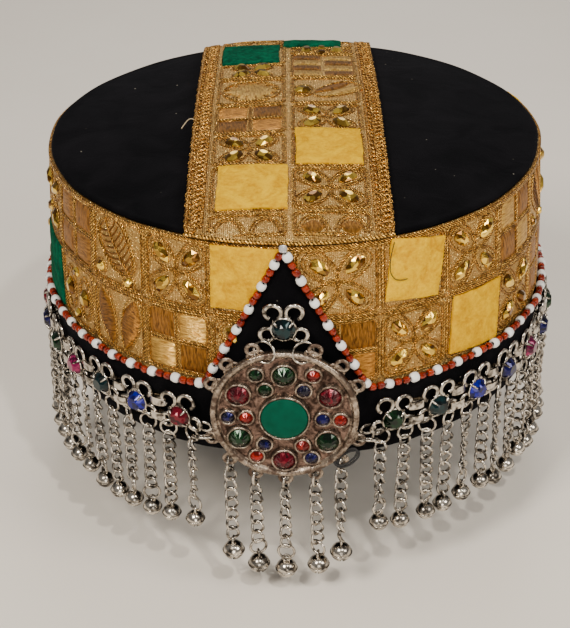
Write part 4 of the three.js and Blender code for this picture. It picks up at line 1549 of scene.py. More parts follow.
@dataclass
class CrownTrim:
    """The gold trim over the crown, with a braid along each long edge."""

    middle_x: float = -2.5
    half: float = 28.0
    end_r: float = 90.0
    lift: float = 0.5
    thick: float = 1.2
    braid_wide: float = 5.9
    braid_thick: float = 1.0
    braid_pitch: float = 1.5
    braid_loop: Pair = (2.15, 1.15)
    loop_r: float = 0.42
    edge_r: float = 0.46
    left: Pair = (-29.3, -2.9)
    right: Pair = (-1.7, 24.6)

    LEFT_ROWS = (
        (-88.4, -75.6, Motif.ARCHES), (-74.8, -46.6, Motif.PATCH), (-46.0, -23.4, Motif.FOUR_STONES),
        (-22.6, 2.2, Motif.BROWN_CHECKS), (3.0, 28.8, Motif.ROSETTE), (29.6, 47.0, Motif.FOUR_STONES),
        (47.8, 75.6, Motif.PATCH), (76.4, 86.0, Motif.ARCHES),
    )
    RIGHT_ROWS = (
        (-88.4, -74.6, Motif.SATIN_ARCHES), (-73.8, -47.4, Motif.FOUR_STONES), (-46.8, -22.4, Motif.PATCH),
        (-21.8, 1.0, Motif.FOUR_STONES), (1.8, 29.6, Motif.SPLIT_LEAF), (30.4, 61.0, Motif.STRIPES),
        (61.8, 72.4, Motif.OVALS), (73.1, 83.0, Motif.PATCH),
    )

    def at(self, x: Array, y: Array, lift: Array) -> Array:
        """Places on the trim's face at x and y, lifted above it."""
        return SHAPE.on_crown(x, y, self.lift + self.thick + np.asarray(lift))

    def strip(self, low_x: float, high_x: float, thick: float, name: str, slot: str,
              node: str) -> bpy.types.Object:
        """A strip from the front edge of the crown to the back one.

        Args:
            low_x: its left edge.
            high_x: its right edge.
            thick: its thickness.
            name: the piece's name.
            slot: the record's material slot.
            node: the frame's node that it stands for.

        Returns:
            The strip.
        """
        x = np.linspace(low_x, high_x, 3 + int((high_x - low_x) / 3.0))
        share = np.linspace(-1.0, 1.0, 72)
        grid_x, grid_s = np.meshgrid(x, share, indexing="ij")
        y = grid_s * np.sqrt(self.end_r ** 2 - grid_x ** 2)
        top = SHAPE.on_crown(grid_x, y, self.lift + thick)
        under = SHAPE.on_crown(grid_x, y, self.lift)
        loop = np.concatenate([top, under[::-1]], axis=0)
        form = Form()
        u = np.concatenate([x, 2.0 * x[-1] - x[::-1], [0.0]])
        form.sheet(loop, u, share * self.end_r, True)
        form.lid(np.concatenate([top[:, 0], under[::-1, 0]])[::-1])
        form.lid(np.concatenate([top[:, -1], under[::-1, -1]]))
        return form.piece(name, [GOLD_GROUND], slot, [node])

    def braid(self, middle_x: float, name: str) -> bpy.types.Object:
        """Looped braid on its strip.

        Args:
            middle_x: the braid's middle line.
            name: the piece's name.

        Returns:
            The braid's loops.
        """
        reach = math.sqrt(self.end_r ** 2 - (abs(middle_x) + self.braid_wide / 2) ** 2)
        base = self.lift + self.braid_thick
        ground = Ground(lambda x, y, lift: SHAPE.on_crown(x, y, base + np.asarray(lift)))
        form = Form()
        chance = random.Random(int(middle_x * 10.0))
        for k in range(int(2 * reach / self.braid_pitch)):
            y = -reach + (k + 0.5) * self.braid_pitch
            side = 1.0 if k % 2 else -1.0
            turn = side * chance.uniform(22.0, 40.0)
            loop = ellipse(*self.braid_loop, turn, (middle_x + side * chance.uniform(0.9, 1.25), y), 12)
            places, _, normals = ground.places(loop, 0.4 + 0.16 * side)
            form.tube(places, normals, self.loop_r, 5, True)
        for side in (-1.0, 1.0):
            y = np.linspace(-reach, reach, 240)
            path = np.column_stack([middle_x + side * (2.5 + 0.25 * np.sin(y * TAU / 3.0)), y])
            places, _, normals = ground.places(path, 0.3)
            form.tube(places, normals, self.edge_r, 6)
        return form.piece(name, [BRAID_THREAD], "gold_braid")

    def build(self) -> list[bpy.types.Object]:
        """Makes the trim and its braids.

        Returns:
            The pieces.
        """
        low, high = self.middle_x - self.half, self.middle_x + self.half
        pieces = [self.strip(low, high, self.thick, "crown_trim_ground", "gold_trim", "crown_trim")]
        for side, edge in (("left", low - self.braid_wide), ("right", high)):
            pieces.append(self.strip(edge, edge + self.braid_wide, self.braid_thick, f"braid_ribbon_{side}",
                                     "gold_braid", f"crown_braid_{side}"))
            pieces.append(self.braid(edge + self.braid_wide / 2.0, f"braid_loops_{side}"))
        work = Embroidery(Ground(self.at), 23, keep=lambda x, y: math.hypot(x, y) < self.end_r - 0.6)
        for (left, right), rows in ((self.left, self.LEFT_ROWS), (self.right, self.RIGHT_ROWS)):
            x, half = (left + right) / 2, (right - left) / 2
            for start, end, motif in rows:
                work.work(Cell(x, (start + end) / 2, half, (end - start) / 2, motif))
        self.end_cords(work, low - self.braid_wide, high + self.braid_wide)
        pieces.extend(work.pieces("crown_trim"))
        return pieces

    def end_cords(self, work: Embroidery, low_x: float, high_x: float) -> None:
        """Lays a couched cord along both ends, where they are sewn to the side trim.

        Args:
            work: the needlework.
            low_x: the left braid's outer edge.
            high_x: the right braid's outer edge.
        """
        out, high, wire = 0.25, 1.35, 0.72
        r = self.end_r + out
        x = np.linspace(low_x, high_x, 64)
        for side in (-1.0, 1.0):
            y = side * np.sqrt(r ** 2 - x ** 2)
            places = SHAPE.on_crown(x, y, high)
            work.forms["work"].tube(places, unit(places * np.array([1.0, 1.0, 0.0])), wire, 6)


@dataclass
class VelvetPatches:
    """Yellow and green velvet squares sewn on the trim."""

    base: float = 2.1
    thick: float = 0.9
    sunk: float = 0.3
    half_wide: float = 12.0
    cells: int = 22

    SIDES = {
        "yellow_patch_side_1": (-18.0, -3.5, -22.6, 0.0),
        "yellow_patch_side_2": (17.5, 32.2, -24.3, 0.3),
        "yellow_patch_side_3": (34.5, 49.5, -50.8, -26.2),
        "yellow_patch_side_4": (98.5, 113.5, -24.3, 0.3),
        "yellow_patch_side_5": (197.0, 212.0, -24.3, 0.3),
        "yellow_patch_side_6": (246.0, 261.0, -50.8, -26.2),
        "green_patch_side_1": (-81.0, -66.5, -50.8, -26.2),
        "green_patch_side_2": (148.0, 163.0, -50.8, -26.2),
    }

    SKEWS = {
        "yellow_patch_side_2": ((18.2, -21.5), (30.5, -23.7), (32.4, -3.1), (19.7, 0.4)),
        "yellow_patch_side_3": ((33.8, -48.9), (48.4, -51.4), (49.4, -28.2), (34.8, -27.0)),
    }

    def puckers(self, s: Array, t: Array, seed: int) -> tuple[Array, Array, Array]:
        """The cloth's small unevenness over a patch.

        Args:
            s: places across it, from -1 to 1.
            t: places up it.
            seed: a number of its own.

        Returns:
            How far each place moves across, up and out.
        """
        phase = 1.7 * seed
        edge = 0.18 * np.sin(3.1 * t + phase) + 0.1 * np.sin(9.3 * t - phase)
        rim = 0.18 * np.sin(2.7 * s + phase + 1.0) + 0.1 * np.sin(8.1 * s + phase)
        crown = (1.0 - s ** 8) * (1.0 - t ** 8)
        wave = 0.22 * np.sin(4.0 * s + phase) * np.cos(3.0 * t - phase) + 0.12 * np.sin(9.0 * (s + t) + phase)
        return edge * np.abs(s) ** 3, rim * np.abs(t) ** 3, 0.5 * crown ** 0.6 + wave * crown - 0.35

    def patch(self, node: str, at: Places, seed: int) -> bpy.types.Object:
        """One patch.

        Args:
            node: the frame's node that it stands for.
            at: gives places from shares across and up the patch, from -1 to 1, and a height.
            seed: a number of its own.

        Returns:
            The patch.
        """
        line = np.linspace(-1.0, 1.0, self.cells + 1)
        s, t = np.meshgrid(line, line, indexing="ij")
        across, up, out = self.puckers(s, t, seed)
        s, t = s + across / self.half_wide, t + up / self.half_wide
        top = at(s, t, self.base + self.thick + out)
        under = at(s, t, np.full_like(s, self.base - self.sunk))
        form = Form()
        mm = line * self.half_wide
        form.sheet(top, mm, mm)
        form.sheet(under[::-1], mm, mm)
        for edge in ((top[:, 0], under[:, 0]), (top[::-1, -1], under[::-1, -1]),
                     (top[0, ::-1], under[0, ::-1]), (top[-1], under[-1])):
            form.sheet(np.stack([edge[1], edge[0]], axis=1), mm, np.array([0.0, self.thick]))
        yellow = node.startswith("yellow")
        finish, slot = (YELLOW_VELVET, "yellow_velvet") if yellow else (GREEN_VELVET, "green_velvet")
        return form.piece(f"{node}_cloth", [finish], slot, [node])

    def side_at(self, low: float, high: float, bottom: float, top: float) -> Places:
        """Places on a side patch, which is cut along the peak where it meets it.

        Args:
            low: its left edge, in degrees from the front.
            high: its right edge.
            bottom: its lower edge.
            top: its upper edge.

        Returns:
            The function that gives its places.
        """
        def at(s: Array, t: Array, lift: Array) -> Array:
            """Places on the patch.

            Args:
                s: shares across it, from -1 to 1.
                t: shares up it.
                lift: distances out from the cloth.

            Returns:
                The places.
            """
            z = (bottom + top) / 2 + t * (top - bottom) / 2
            share = np.minimum(1.0, (z - BAND.top_z) / (BAND.apex_z - BAND.top_z))
            edge = FRONT_DEG - BAND.peak_half_deg * (1.0 - share) - 0.7
            right = np.minimum(high, edge) if low < FRONT_DEG < high + 2.0 else np.full_like(z, high)
            return SHAPE.on_wall((low + right) / 2 + s * (right - low) / 2, z, lift)
        return at

    def skewed_at(self, corners: Sequence[Pair]) -> Places:
        """Places on a side patch that was sewn on askew.

        Args:
            corners: angle and height of its corners, from the lower left, counter-clockwise.

        Returns:
            The function that gives its places.
        """
        def at(s: Array, t: Array, lift: Array) -> Array:
            """Places on the patch.

            Args:
                s: shares across it, from -1 to 1.
                t: shares up it.
                lift: distances out from the cloth.

            Returns:
                The places.
            """
            a, b = (s + 1.0) / 2.0, (t + 1.0) / 2.0
            shares = ((1 - a) * (1 - b), a * (1 - b), a * b, (1 - a) * b)
            degrees = sum(share * corner[0] for share, corner in zip(shares, corners))
            z = sum(share * corner[1] for share, corner in zip(shares, corners))
            return SHAPE.on_wall(degrees, z, lift)
        return at

    def crown_at(self, low: Array, high: Array) -> Places:
        """Places on a crown patch.

        Args:
            low: its lowest corner.
            high: its highest corner.

        Returns:
            The function that gives its places.
        """
        def at(s: Array, t: Array, lift: Array) -> Array:
            """Places from shares across and along, and a height."""
            x, y = ((a + b) / 2 + share * (b - a) / 2 for a, b, share in zip(low, high, (s, t)))
            return SHAPE.on_crown(x, y, lift)
        return at

    def build(self) -> list[bpy.types.Object]:
        """Makes every patch.

        Returns:
            The patches.
        """
        pieces = []
        for k, (node, edges) in enumerate(self.SIDES.items()):
            at = self.skewed_at(self.SKEWS[node]) if node in self.SKEWS else self.side_at(*edges)
            pieces.append(self.patch(node, at, k))
        for k, number in enumerate((1, 2)):
            for colour in ("yellow", "green"):
                node = f"{colour}_patch_crown_{number}"
                low, high = (np.array(corner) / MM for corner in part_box(node))
                pieces.append(self.patch(node, self.crown_at(low, high), 20 + k + len(colour)))
        return pieces


def facing(degrees: float, r: float, z: float) -> Matrix:
    """The place of a metal form on the wall: its X along the wall, its Y up and its Z outwards.

    Args:
        degrees: the angle from the front.
        r: the distance from the cap's axis.
        z: the height.

    Returns:
        The matrix, in millimetres.
    """
    t = math.radians(degrees)
    place = Matrix.Translation((r * math.sin(t), -r * math.cos(t), z))
    return place @ spun(degrees, "Z") @ STAND


def ring_path(half_u: float, half_v: float, count: int = 20, middle: Pair = (0.0, 0.0),
              turn: float = 0.0) -> Array:
    """A closed ring's middle line in the X-Y plane, from its half sizes."""
    return np.column_stack([ellipse(half_u, half_v, turn, middle, count), np.zeros(count)])


def clock(degrees: float, out: float) -> Pair:
    """The place across and up at an angle, clockwise from the top, and a distance from the middle."""
    return out * math.sin(math.radians(degrees)), out * math.cos(math.radians(degrees))


Z_UP = np.array([0.0, 0.0, 1.0])


@dataclass
class SetStone:
    """A cut stone in a cup with four claws, about +Z."""

    stone_r: float
    cup_high: float = 1.6
    claw_r: float = 0.45
    sides: int = 12

    def metal(self) -> Form:
        """The cup and its claws.

        Returns:
            The metal.
        """
        form = Form()
        r = self.stone_r
        form.lathe([(r * 0.7, 0.0), (r + 0.45, self.cup_high * 0.6), (r + 0.45, self.cup_high),
                    (r + 0.05, self.cup_high + 0.05), (r * 0.3, self.cup_high - 0.3)], 18)
        for k in range(4):
            turn = math.radians(45.0 + 90.0 * k)
            c, s = math.cos(turn), math.sin(turn)
            path = np.array([(c * (r + 0.55), s * (r + 0.55), self.cup_high * 0.4),
                             (c * (r + 0.5), s * (r + 0.5), self.cup_high + 0.55),
                             (c * (r * 0.86), s * (r * 0.86), self.cup_high + r * 0.34),
                             (c * (r * 0.66), s * (r * 0.66), self.cup_high + r * 0.46)])
            side = np.array([-s, c, 0.0])
            form.tube(path, side, self.claw_r, 6, taper=np.array([1.0, 1.0, 0.85, 0.55]))
        return form

    def stone(self) -> Form:
        """The cut stone.

        Returns:
            The stone.
        """
        outline = ellipse(self.stone_r, self.stone_r, count=self.sides)
        cut = cut_stone(outline, self.stone_r * 0.62, 0.52, 0.12)
        form = Form()
        form.stamp(cut, Matrix.Translation((0.0, 0.0, self.cup_high - 0.1)))
        return form


@dataclass
class Medallion:
    """The round jewelled plate with its small rings, and its stones."""

    r: float = 25.0
    z: float = -59.0
    back: float = 96.2
    plate: float = 1.6
    dome: float = 0.8
    rim_wide: float = 2.0
    rim_rise: float = 1.2
    ear_out: float = 1.9
    ear_r: float = 2.0
    ear_z: float = 0.6
    ear_wire: float = 0.78
    foot_half: Pair = (2.6, 1.1)
    foot_wire: float = 0.7
    cabochon_r: float = 8.0
    large_r: float = 3.75
    small_r: float = 2.3

    EARS = (22.5, 45.0, 65.0, 113.0, 135.0, 157.5, 180.0, 202.5, 225.0, 247.0, 295.0, 315.0, 337.5)
    LARGE = (
        (0.0, 16.4, GREEN_FOIL), (62.0, 17.3, RED_FOIL), (124.0, 17.5, GREEN_FOIL), (181.0, 17.8, RED_FOIL),
        (240.0, 17.6, GREEN_FOIL), (299.0, 17.5, RED_FOIL),
    )
    SMALL = (
        (31.0, 18.9, SCARLET_FOIL), (32.0, 12.3, BLUE_FOIL), (94.0, 12.9, BLUE_FOIL),
        (94.0, 18.9, SCARLET_FOIL), (153.0, 13.3, SCARLET_FOIL), (152.0, 19.2, BLUE_FOIL),
        (210.0, 19.2, SCARLET_FOIL), (211.0, 13.3, BLUE_FOIL), (267.0, 12.9, SCARLET_FOIL),
        (268.0, 19.0, BLUE_FOIL), (330.0, 18.7, GREEN_FOIL), (329.0, 12.3, GREEN_FOIL),
    )
    SLOTS = {
        GREEN_FOIL: "green_glass", RED_FOIL: "red_glass", SCARLET_FOIL: "red_glass", BLUE_FOIL: "blue_glass",
    }

    def seat(self) -> Matrix:
        """The place of the plate's back."""
        return facing(FRONT_DEG, self.back, self.z)

    def field_z(self, out: float) -> float:
        """The plate's height at a distance from its middle."""
        inner = self.r - self.rim_wide
        return self.plate + self.dome * max(0.0, 1.0 - (out / inner) ** 2)

    def build(self) -> list[bpy.types.Object]:
        """Makes the plate and the stones.

        Returns:
            The pieces.
        """
        metal = Form()
        inner = self.r - self.rim_wide
        top = self.plate + self.rim_rise
        profile = [(self.r - 0.5, 0.0), (self.r, 0.5), (self.r, top - 0.5), (self.r - 0.45, top),
                   (inner + 0.45, top), (inner, top - 0.45), (inner - 0.25, self.plate + 0.25)]
        profile += [(out, self.field_z(out)) for out in np.linspace(inner - 0.9, 0.5, 12)]
        metal.lathe(profile, 96)
        field = Form()
        outs = np.linspace(inner - 0.45, 0.5, 14)
        field.lathe([(out, self.field_z(out) + 0.06) for out in outs], 96)
        for turn in self.EARS:
            spot = clock(turn, self.r + self.ear_out - 0.1)
            ear = ring_path(self.ear_r, self.ear_r, 18, spot) + Z_UP * self.ear_z
            metal.tube(ear, Z_UP, self.ear_wire, 8, True, flat=0.6)
            foot = ring_path(*self.foot_half, 16, clock(turn, self.r - 0.2), -turn) + Z_UP * self.ear_z
            metal.tube(foot, Z_UP, self.foot_wire, 8, True, flat=0.6)
        self.bezel(metal, (0.0, 0.0), self.cabochon_r, self.field_z(0.0), 2.0, 40)
        bezels = ((self.LARGE, self.large_r, 1.55, 24), (self.SMALL, self.small_r, 1.15, 18))
        for rows, r, rise, sides in bezels:
            for turn, out, _ in rows:
                self.bezel(metal, clock(turn, out), r, self.field_z(out), rise, sides)
        whole = Form()
        whole.stamp(metal, self.seat())
        whole.stamp(field, self.seat(), 1)
        pieces = [whole.piece("medallion_plate", [OLD_SILVER, DARK_COPPER], "old_silver", ["medallion"])]
        pieces.append(self.middle_stone())
        sizes = (("large", self.LARGE, self.large_r, 0.75), ("small", self.SMALL, self.small_r, 0.5))
        for size, rows, r, rise in sizes:
            for k, (turn, out, finish) in enumerate(rows):
                cut = cut_stone(ellipse(r, r, 7.0 * k, count=12), r * 0.66, 0.3, 0.08)
                form = Form()
                lift = Matrix.Translation((*clock(turn, out), self.field_z(out) + rise))
                form.stamp(cut, self.seat() @ lift)
                node = f"stone_{size}_{k + 1}"
                pieces.append(form.piece(f"{node}_cut", [finish], self.SLOTS[finish], [node]))
        return pieces

    def bezel(self, form: Form, spot: Pair, stone_r: float, base: float, rise: float, sides: int) -> None:
        """A rolled collar round a stone, a little wider at its foot.

        Args:
            form: the metal that it is added to.
            spot: its middle.
            stone_r: the stone's radius.
            base: the plate's height there.
            rise: how far it stands up.
            sides: how many sides it has.
        """
        r = stone_r
        collar = Form()
        profile = [(r + 1.1, -0.5), (r + 1.0, rise * 0.25), (r + 0.75, rise * 0.7), (r + 0.6, rise),
                   (r + 0.25, rise + 0.1), (r - 0.05, rise * 0.85), (r - 0.1, rise * 0.4),
                   (r * 0.3, rise * 0.35)]
        collar.lathe(profile, sides)
        form.stamp(collar, Matrix.Translation((*spot, base)))

    def middle_stone(self) -> bpy.types.Object:
        """The flat green stone.

        Returns:
            The stone.
        """
        r = self.cabochon_r
        form = Form()
        stone = Form()
        profile = [(r - 0.1, 0.0), (r - 0.1, 0.9), (r - 0.35, 1.25), (r - 0.9, 1.5), (r * 0.5, 1.62),
                   (0.4, 1.66)]
        stone.lathe(profile, 48)
        form.stamp(stone, self.seat() @ Matrix.Translation((0.0, 0.0, self.field_z(0.0) + 0.8)))
        return form.piece("stone_middle_polished", [CABOCHON], "green_glass", ["stone_middle"])


MEDALLION = Medallion()


@dataclass
class CloverCasting:
    """A clover of wire about a stone in claws: two scrolls above and two loops below, facing +Z."""

    stone_r: float = 4.0
    wire_r: float = 0.85
    scroll_r: float = 2.75
    loop_r: float = 2.45
    scroll_at: Pair = (3.45, 5.9)
    loop_at: Pair = (5.4, -2.6)
    cup_high: float = 1.5

    def scroll(self, side: float) -> Array:
        """An upper scroll that curls in, like half of a heart's top.

        Args:
            side: 1 for the right one, -1 for the left.

        Returns:
            The wire's places.
        """
        t = np.radians(np.linspace(-62.0, 232.0, 18))
        x = side * (self.scroll_at[0] + self.scroll_r * np.cos(t))
        y = self.scroll_at[1] + self.scroll_r * np.sin(t)
        return np.column_stack([x, y, np.linspace(0.3, 0.9, 18)])

    def metal(self) -> Form:
        """The wire, the cup and its claws.

        Returns:
            The metal.
        """
        form = Form()
        for side in (-1.0, 1.0):
            form.tube(self.scroll(side), Z_UP, self.wire_r, 6, flat=0.85)
            loop = ring_path(self.loop_r, self.loop_r, 14, (side * self.loop_at[0], self.loop_at[1]))
            form.tube(loop + Z_UP * 0.2, Z_UP, self.wire_r, 6, True, flat=0.85)
        form.stamp(SetStone(self.stone_r, self.cup_high, 0.48).metal(), Matrix.Identity(4))
        return form

    def stone(self) -> Form:
        """The stone."""
        return SetStone(self.stone_r, self.cup_high).stone()


@dataclass
class PeakClover:
    """The clover on the peak, with its two rings to the medallion."""

    z: float = -26.5
    back: float = 95.2
    ring_r: float = 3.45
    ring_at: Pair = (6.4, -8.1)
    ring_wire: float = 0.45
    ring_deep: float = 1.5
    ring_out: float = 1.3
    ring_lean: float = 45.0

    def build(self) -> bpy.types.Object:
        """Makes the clover.

        Returns:
            The clover.
        """
        casting = CloverCasting()
        whole = Form()
        seat = facing(FRONT_DEG, self.back, self.z)
        whole.stamp(casting.metal(), seat)
        whole.stamp(casting.stone(), seat, 1)
        local = Form()
        for side in (-1.0, 1.0):
            self.jump_ring(local, side)
        whole.stamp(local, seat)
        return whole.piece("peak_clover_wire", [BRIGHT_STEEL, TEAL_FOIL], "bright_steel", ["peak_clover"])

    def jump_ring(self, form: Form, side: float) -> None:
        """A ring through a lower loop and an ear of the medallion, behind both for the stretch between them.

        Args:
            form: the metal that it is added to.
            side: 1 for the right one, -1 for the left.
        """
        t = np.arange(26) * TAU / 26
        x = side * (self.ring_at[0] + self.ring_r * np.cos(t))
        y = self.ring_at[1] + self.ring_r * np.sin(t)
        out = self.ring_out + self.ring_deep * (0.63 - np.cos(t - math.radians(self.ring_lean)))
        form.tube(np.column_stack([x, y, out]), Z_UP, self.ring_wire, 7, True)


class BellWork:
    """Small parts that repeat: links, rings and bells."""

    LINK = (6.2, 5.0, 0.52, 0.75)
    LINK_PITCH = 4.05
    RING_R = 2.9
    RING_WIRE = 0.5
    RING_DROP = 2.4
    RING_PITCH = 4.9
    BELL_R = 3.75
    BELL_HALF_HIGH = 3.55
    BELL_LOOP = 1.6
    HALF_SLIT = 0.62
    SLIT_LEAN = 9.0
    BELL_SHEET = 0.35
    SECOND_RING_DROP = 2.1
    SECOND_RING_PITCH = 4.4

    def __init__(self) -> None:
        """Makes each once."""
        self.link = self.curb_link(*self.LINK)
        self.ring = Form()
        self.ring.tube(ring_path(self.RING_R, self.RING_R, 20), Z_UP, self.RING_WIRE, 7, True)
        self.bell = self.jingle(self.BELL_R, self.BELL_HALF_HIGH)

    def curb_link(self, long: float, wide: float, wire: float, twist: float) -> Form:
        """A twisted oval link in the X-Y plane, long along Y.

        Args:
            long: its outer length.
            wide: its outer width.
            wire: its wire's radius.
            twist: how far its wire leaves the plane.

        Returns:
            The link.
        """
        path = ring_path(wide / 2 - wire, long / 2 - wire, 16)
        t = np.arange(16) * TAU / 16
        path[:, 2] = twist * np.sin(2.0 * t + 0.5)
        form = Form()
        form.tube(path, Z_UP, wire, 6, True)
        return form

    def jingle(self, r: float, half_high: float) -> Form:
        """A hollow bell with a slit below, a seam round it and a loop on top, about its middle.

        Args:
            r: its radius.
            half_high: half its height.

        Returns:
            The bell.
        """
        mesh = bmesh.new()
        bmesh.ops.create_uvsphere(mesh, u_segments=20, v_segments=12, radius=r)
        bmesh.ops.rotate(mesh, verts=mesh.verts, matrix=Matrix.Rotation(math.pi / 2, 3, "Y"))
        lean = Matrix.Rotation(math.radians(self.SLIT_LEAN), 3, "X")
        bmesh.ops.rotate(mesh, verts=mesh.verts, matrix=lean)
        bmesh.ops.scale(mesh, verts=mesh.verts, vec=(1.0, 1.0, half_high / r))
        middles = [(face, face.calc_center_median()) for face in mesh.faces]
        half_slit = self.HALF_SLIT * r / self.BELL_R
        slit = [face for face, middle in middles
                if abs(middle.y) < half_slit and middle.z < 0.1 * r and abs(middle.x) < r * 0.97]
        bmesh.ops.delete(mesh, geom=slit, context="FACES")
        bmesh.ops.solidify(mesh, geom=mesh.faces[:], thickness=self.BELL_SHEET)
        bmesh.ops.recalc_face_normals(mesh, faces=mesh.faces[:])
        form = Form()
        mesh.verts.index_update()
        points = np.array([tuple(v.co) for v in mesh.verts])
        for corners in (3, 4):
            faces = np.array([[v.index for v in f.verts] for f in mesh.faces if len(f.verts) == corners])
            if len(faces):
                form.add(points, faces, None, 0, True)
        mesh.free()
        form.tube(ring_path(r + 0.02, r + 0.02, 20), Z_UP, 0.28, 5, True)
        loop = Form()
        loop.tube(ring_path(1.35, 1.35, 12), Z_UP, 0.42, 6, True)
        form.stamp(loop, Matrix.Translation((0.0, 0.0, half_high + 0.95)) @ STAND)
        return form

    def drop(self, form: Form, top: Vector, outwards: float, bell_z: float, ring: bool, chance: random.Random,
             large_ring: bool = False, bell_size: float = 1.0) -> None:
        """Hangs a chain and a bell.

        Args:
            form: the metal that it is added to.
            top: where it hangs from.
            outwards: the direction that it faces, in degrees from the front.
            bell_z: the height of the bell's middle.
            ring: True where a jump ring holds it.
            chance: the source of its small errors.
            large_ring: True where a second round ring joins the bell to the chain.
            bell_size: the bell's size as a share of the largest.
        """
        face = spun(outwards, "Z")
        x, y, z = top
        lean = spun(chance.uniform(-1.6, 1.6), "Y")
        swing = Matrix.Translation(top) @ face @ lean @ face.inverted() @ Matrix.Translation(-top)
        if ring:
            turn = spun(chance.uniform(-35.0, 35.0), "Z") @ face @ STAND
            form.stamp(self.ring, swing @ Matrix.Translation((x, y, z - self.RING_DROP)) @ turn)
            z -= self.RING_PITCH
        stop = bell_z + (self.BELL_HALF_HIGH + self.BELL_LOOP) * bell_size
        if large_ring:
            stop += self.SECOND_RING_PITCH
        span = z - stop
        count = max(2, round(span / self.LINK_PITCH))
        pitch = span / count
        twist = chance.uniform(-25.0, 25.0)
        for k in range(count):
            twist += chance.uniform(-22.0, 22.0)
            middle = Matrix.Translation((x, y, z - (k + 0.5) * pitch))
            form.stamp(self.link, swing @ middle @ face @ spun(twist, "Z") @ STAND)
        if large_ring:
            turn = spun(chance.uniform(-40.0, 40.0), "Z") @ face @ STAND
            form.stamp(self.ring, swing @ Matrix.Translation((x, y, stop - self.SECOND_RING_DROP)) @ turn)
        spin = spun(chance.uniform(0.0, 180.0), "Z")
        size = Matrix.Scale(bell_size, 4)
        form.stamp(self.bell, swing @ Matrix.Translation((x, y, bell_z)) @ spin @ size)


@dataclass
class MedallionDrops:
    """Five chains with bells that hang from the medallion."""

    bell_below: float = 40.0
    ears: tuple[float, ...] = (225.0, 202.5, 180.0, 157.5, 135.0)
    two_rings: tuple[int, ...] = (1, 2, 3)
    ring_half: Pair = (1.9, 3.0)
    ring_wire: float = 0.5
    ring_turn: float = 62.0
    ring_down: float = 2.3
    chain_down: float = 4.6

    def build(self, parts: BellWork) -> list[bpy.types.Object]:
        """Makes the drops.

        Args:
            parts: the small parts that repeat.

        Returns:
            The drops, from the left.
        """
        pieces = []
        for k, turn in enumerate(self.ears):
            ear = clock(turn, MEDALLION.r + MEDALLION.ear_out)
            hole = MEDALLION.seat() @ Vector((ear[0], ear[1], 0.6))
            form = Form()
            chance = random.Random(40 + k)
            ring = Form()
            ring.tube(ring_path(*self.ring_half, 18), Z_UP, self.ring_wire, 7, True)
            stand = spun(FRONT_DEG + self.ring_turn, "Z") @ STAND
            form.stamp(ring, Matrix.Translation(hole - Vector((0.0, 0.0, self.ring_down))) @ stand)
            top = hole - Vector((0.0, 0.0, self.chain_down))
            parts.drop(form, top, FRONT_DEG, hole.z - self.bell_below, False, chance, k in self.two_rings)
            node = f"medallion_drop_{k + 1}"
            pieces.append(form.piece(f"{node}_links", [BRIGHT_STEEL], "bright_steel", [node]))
        return pieces


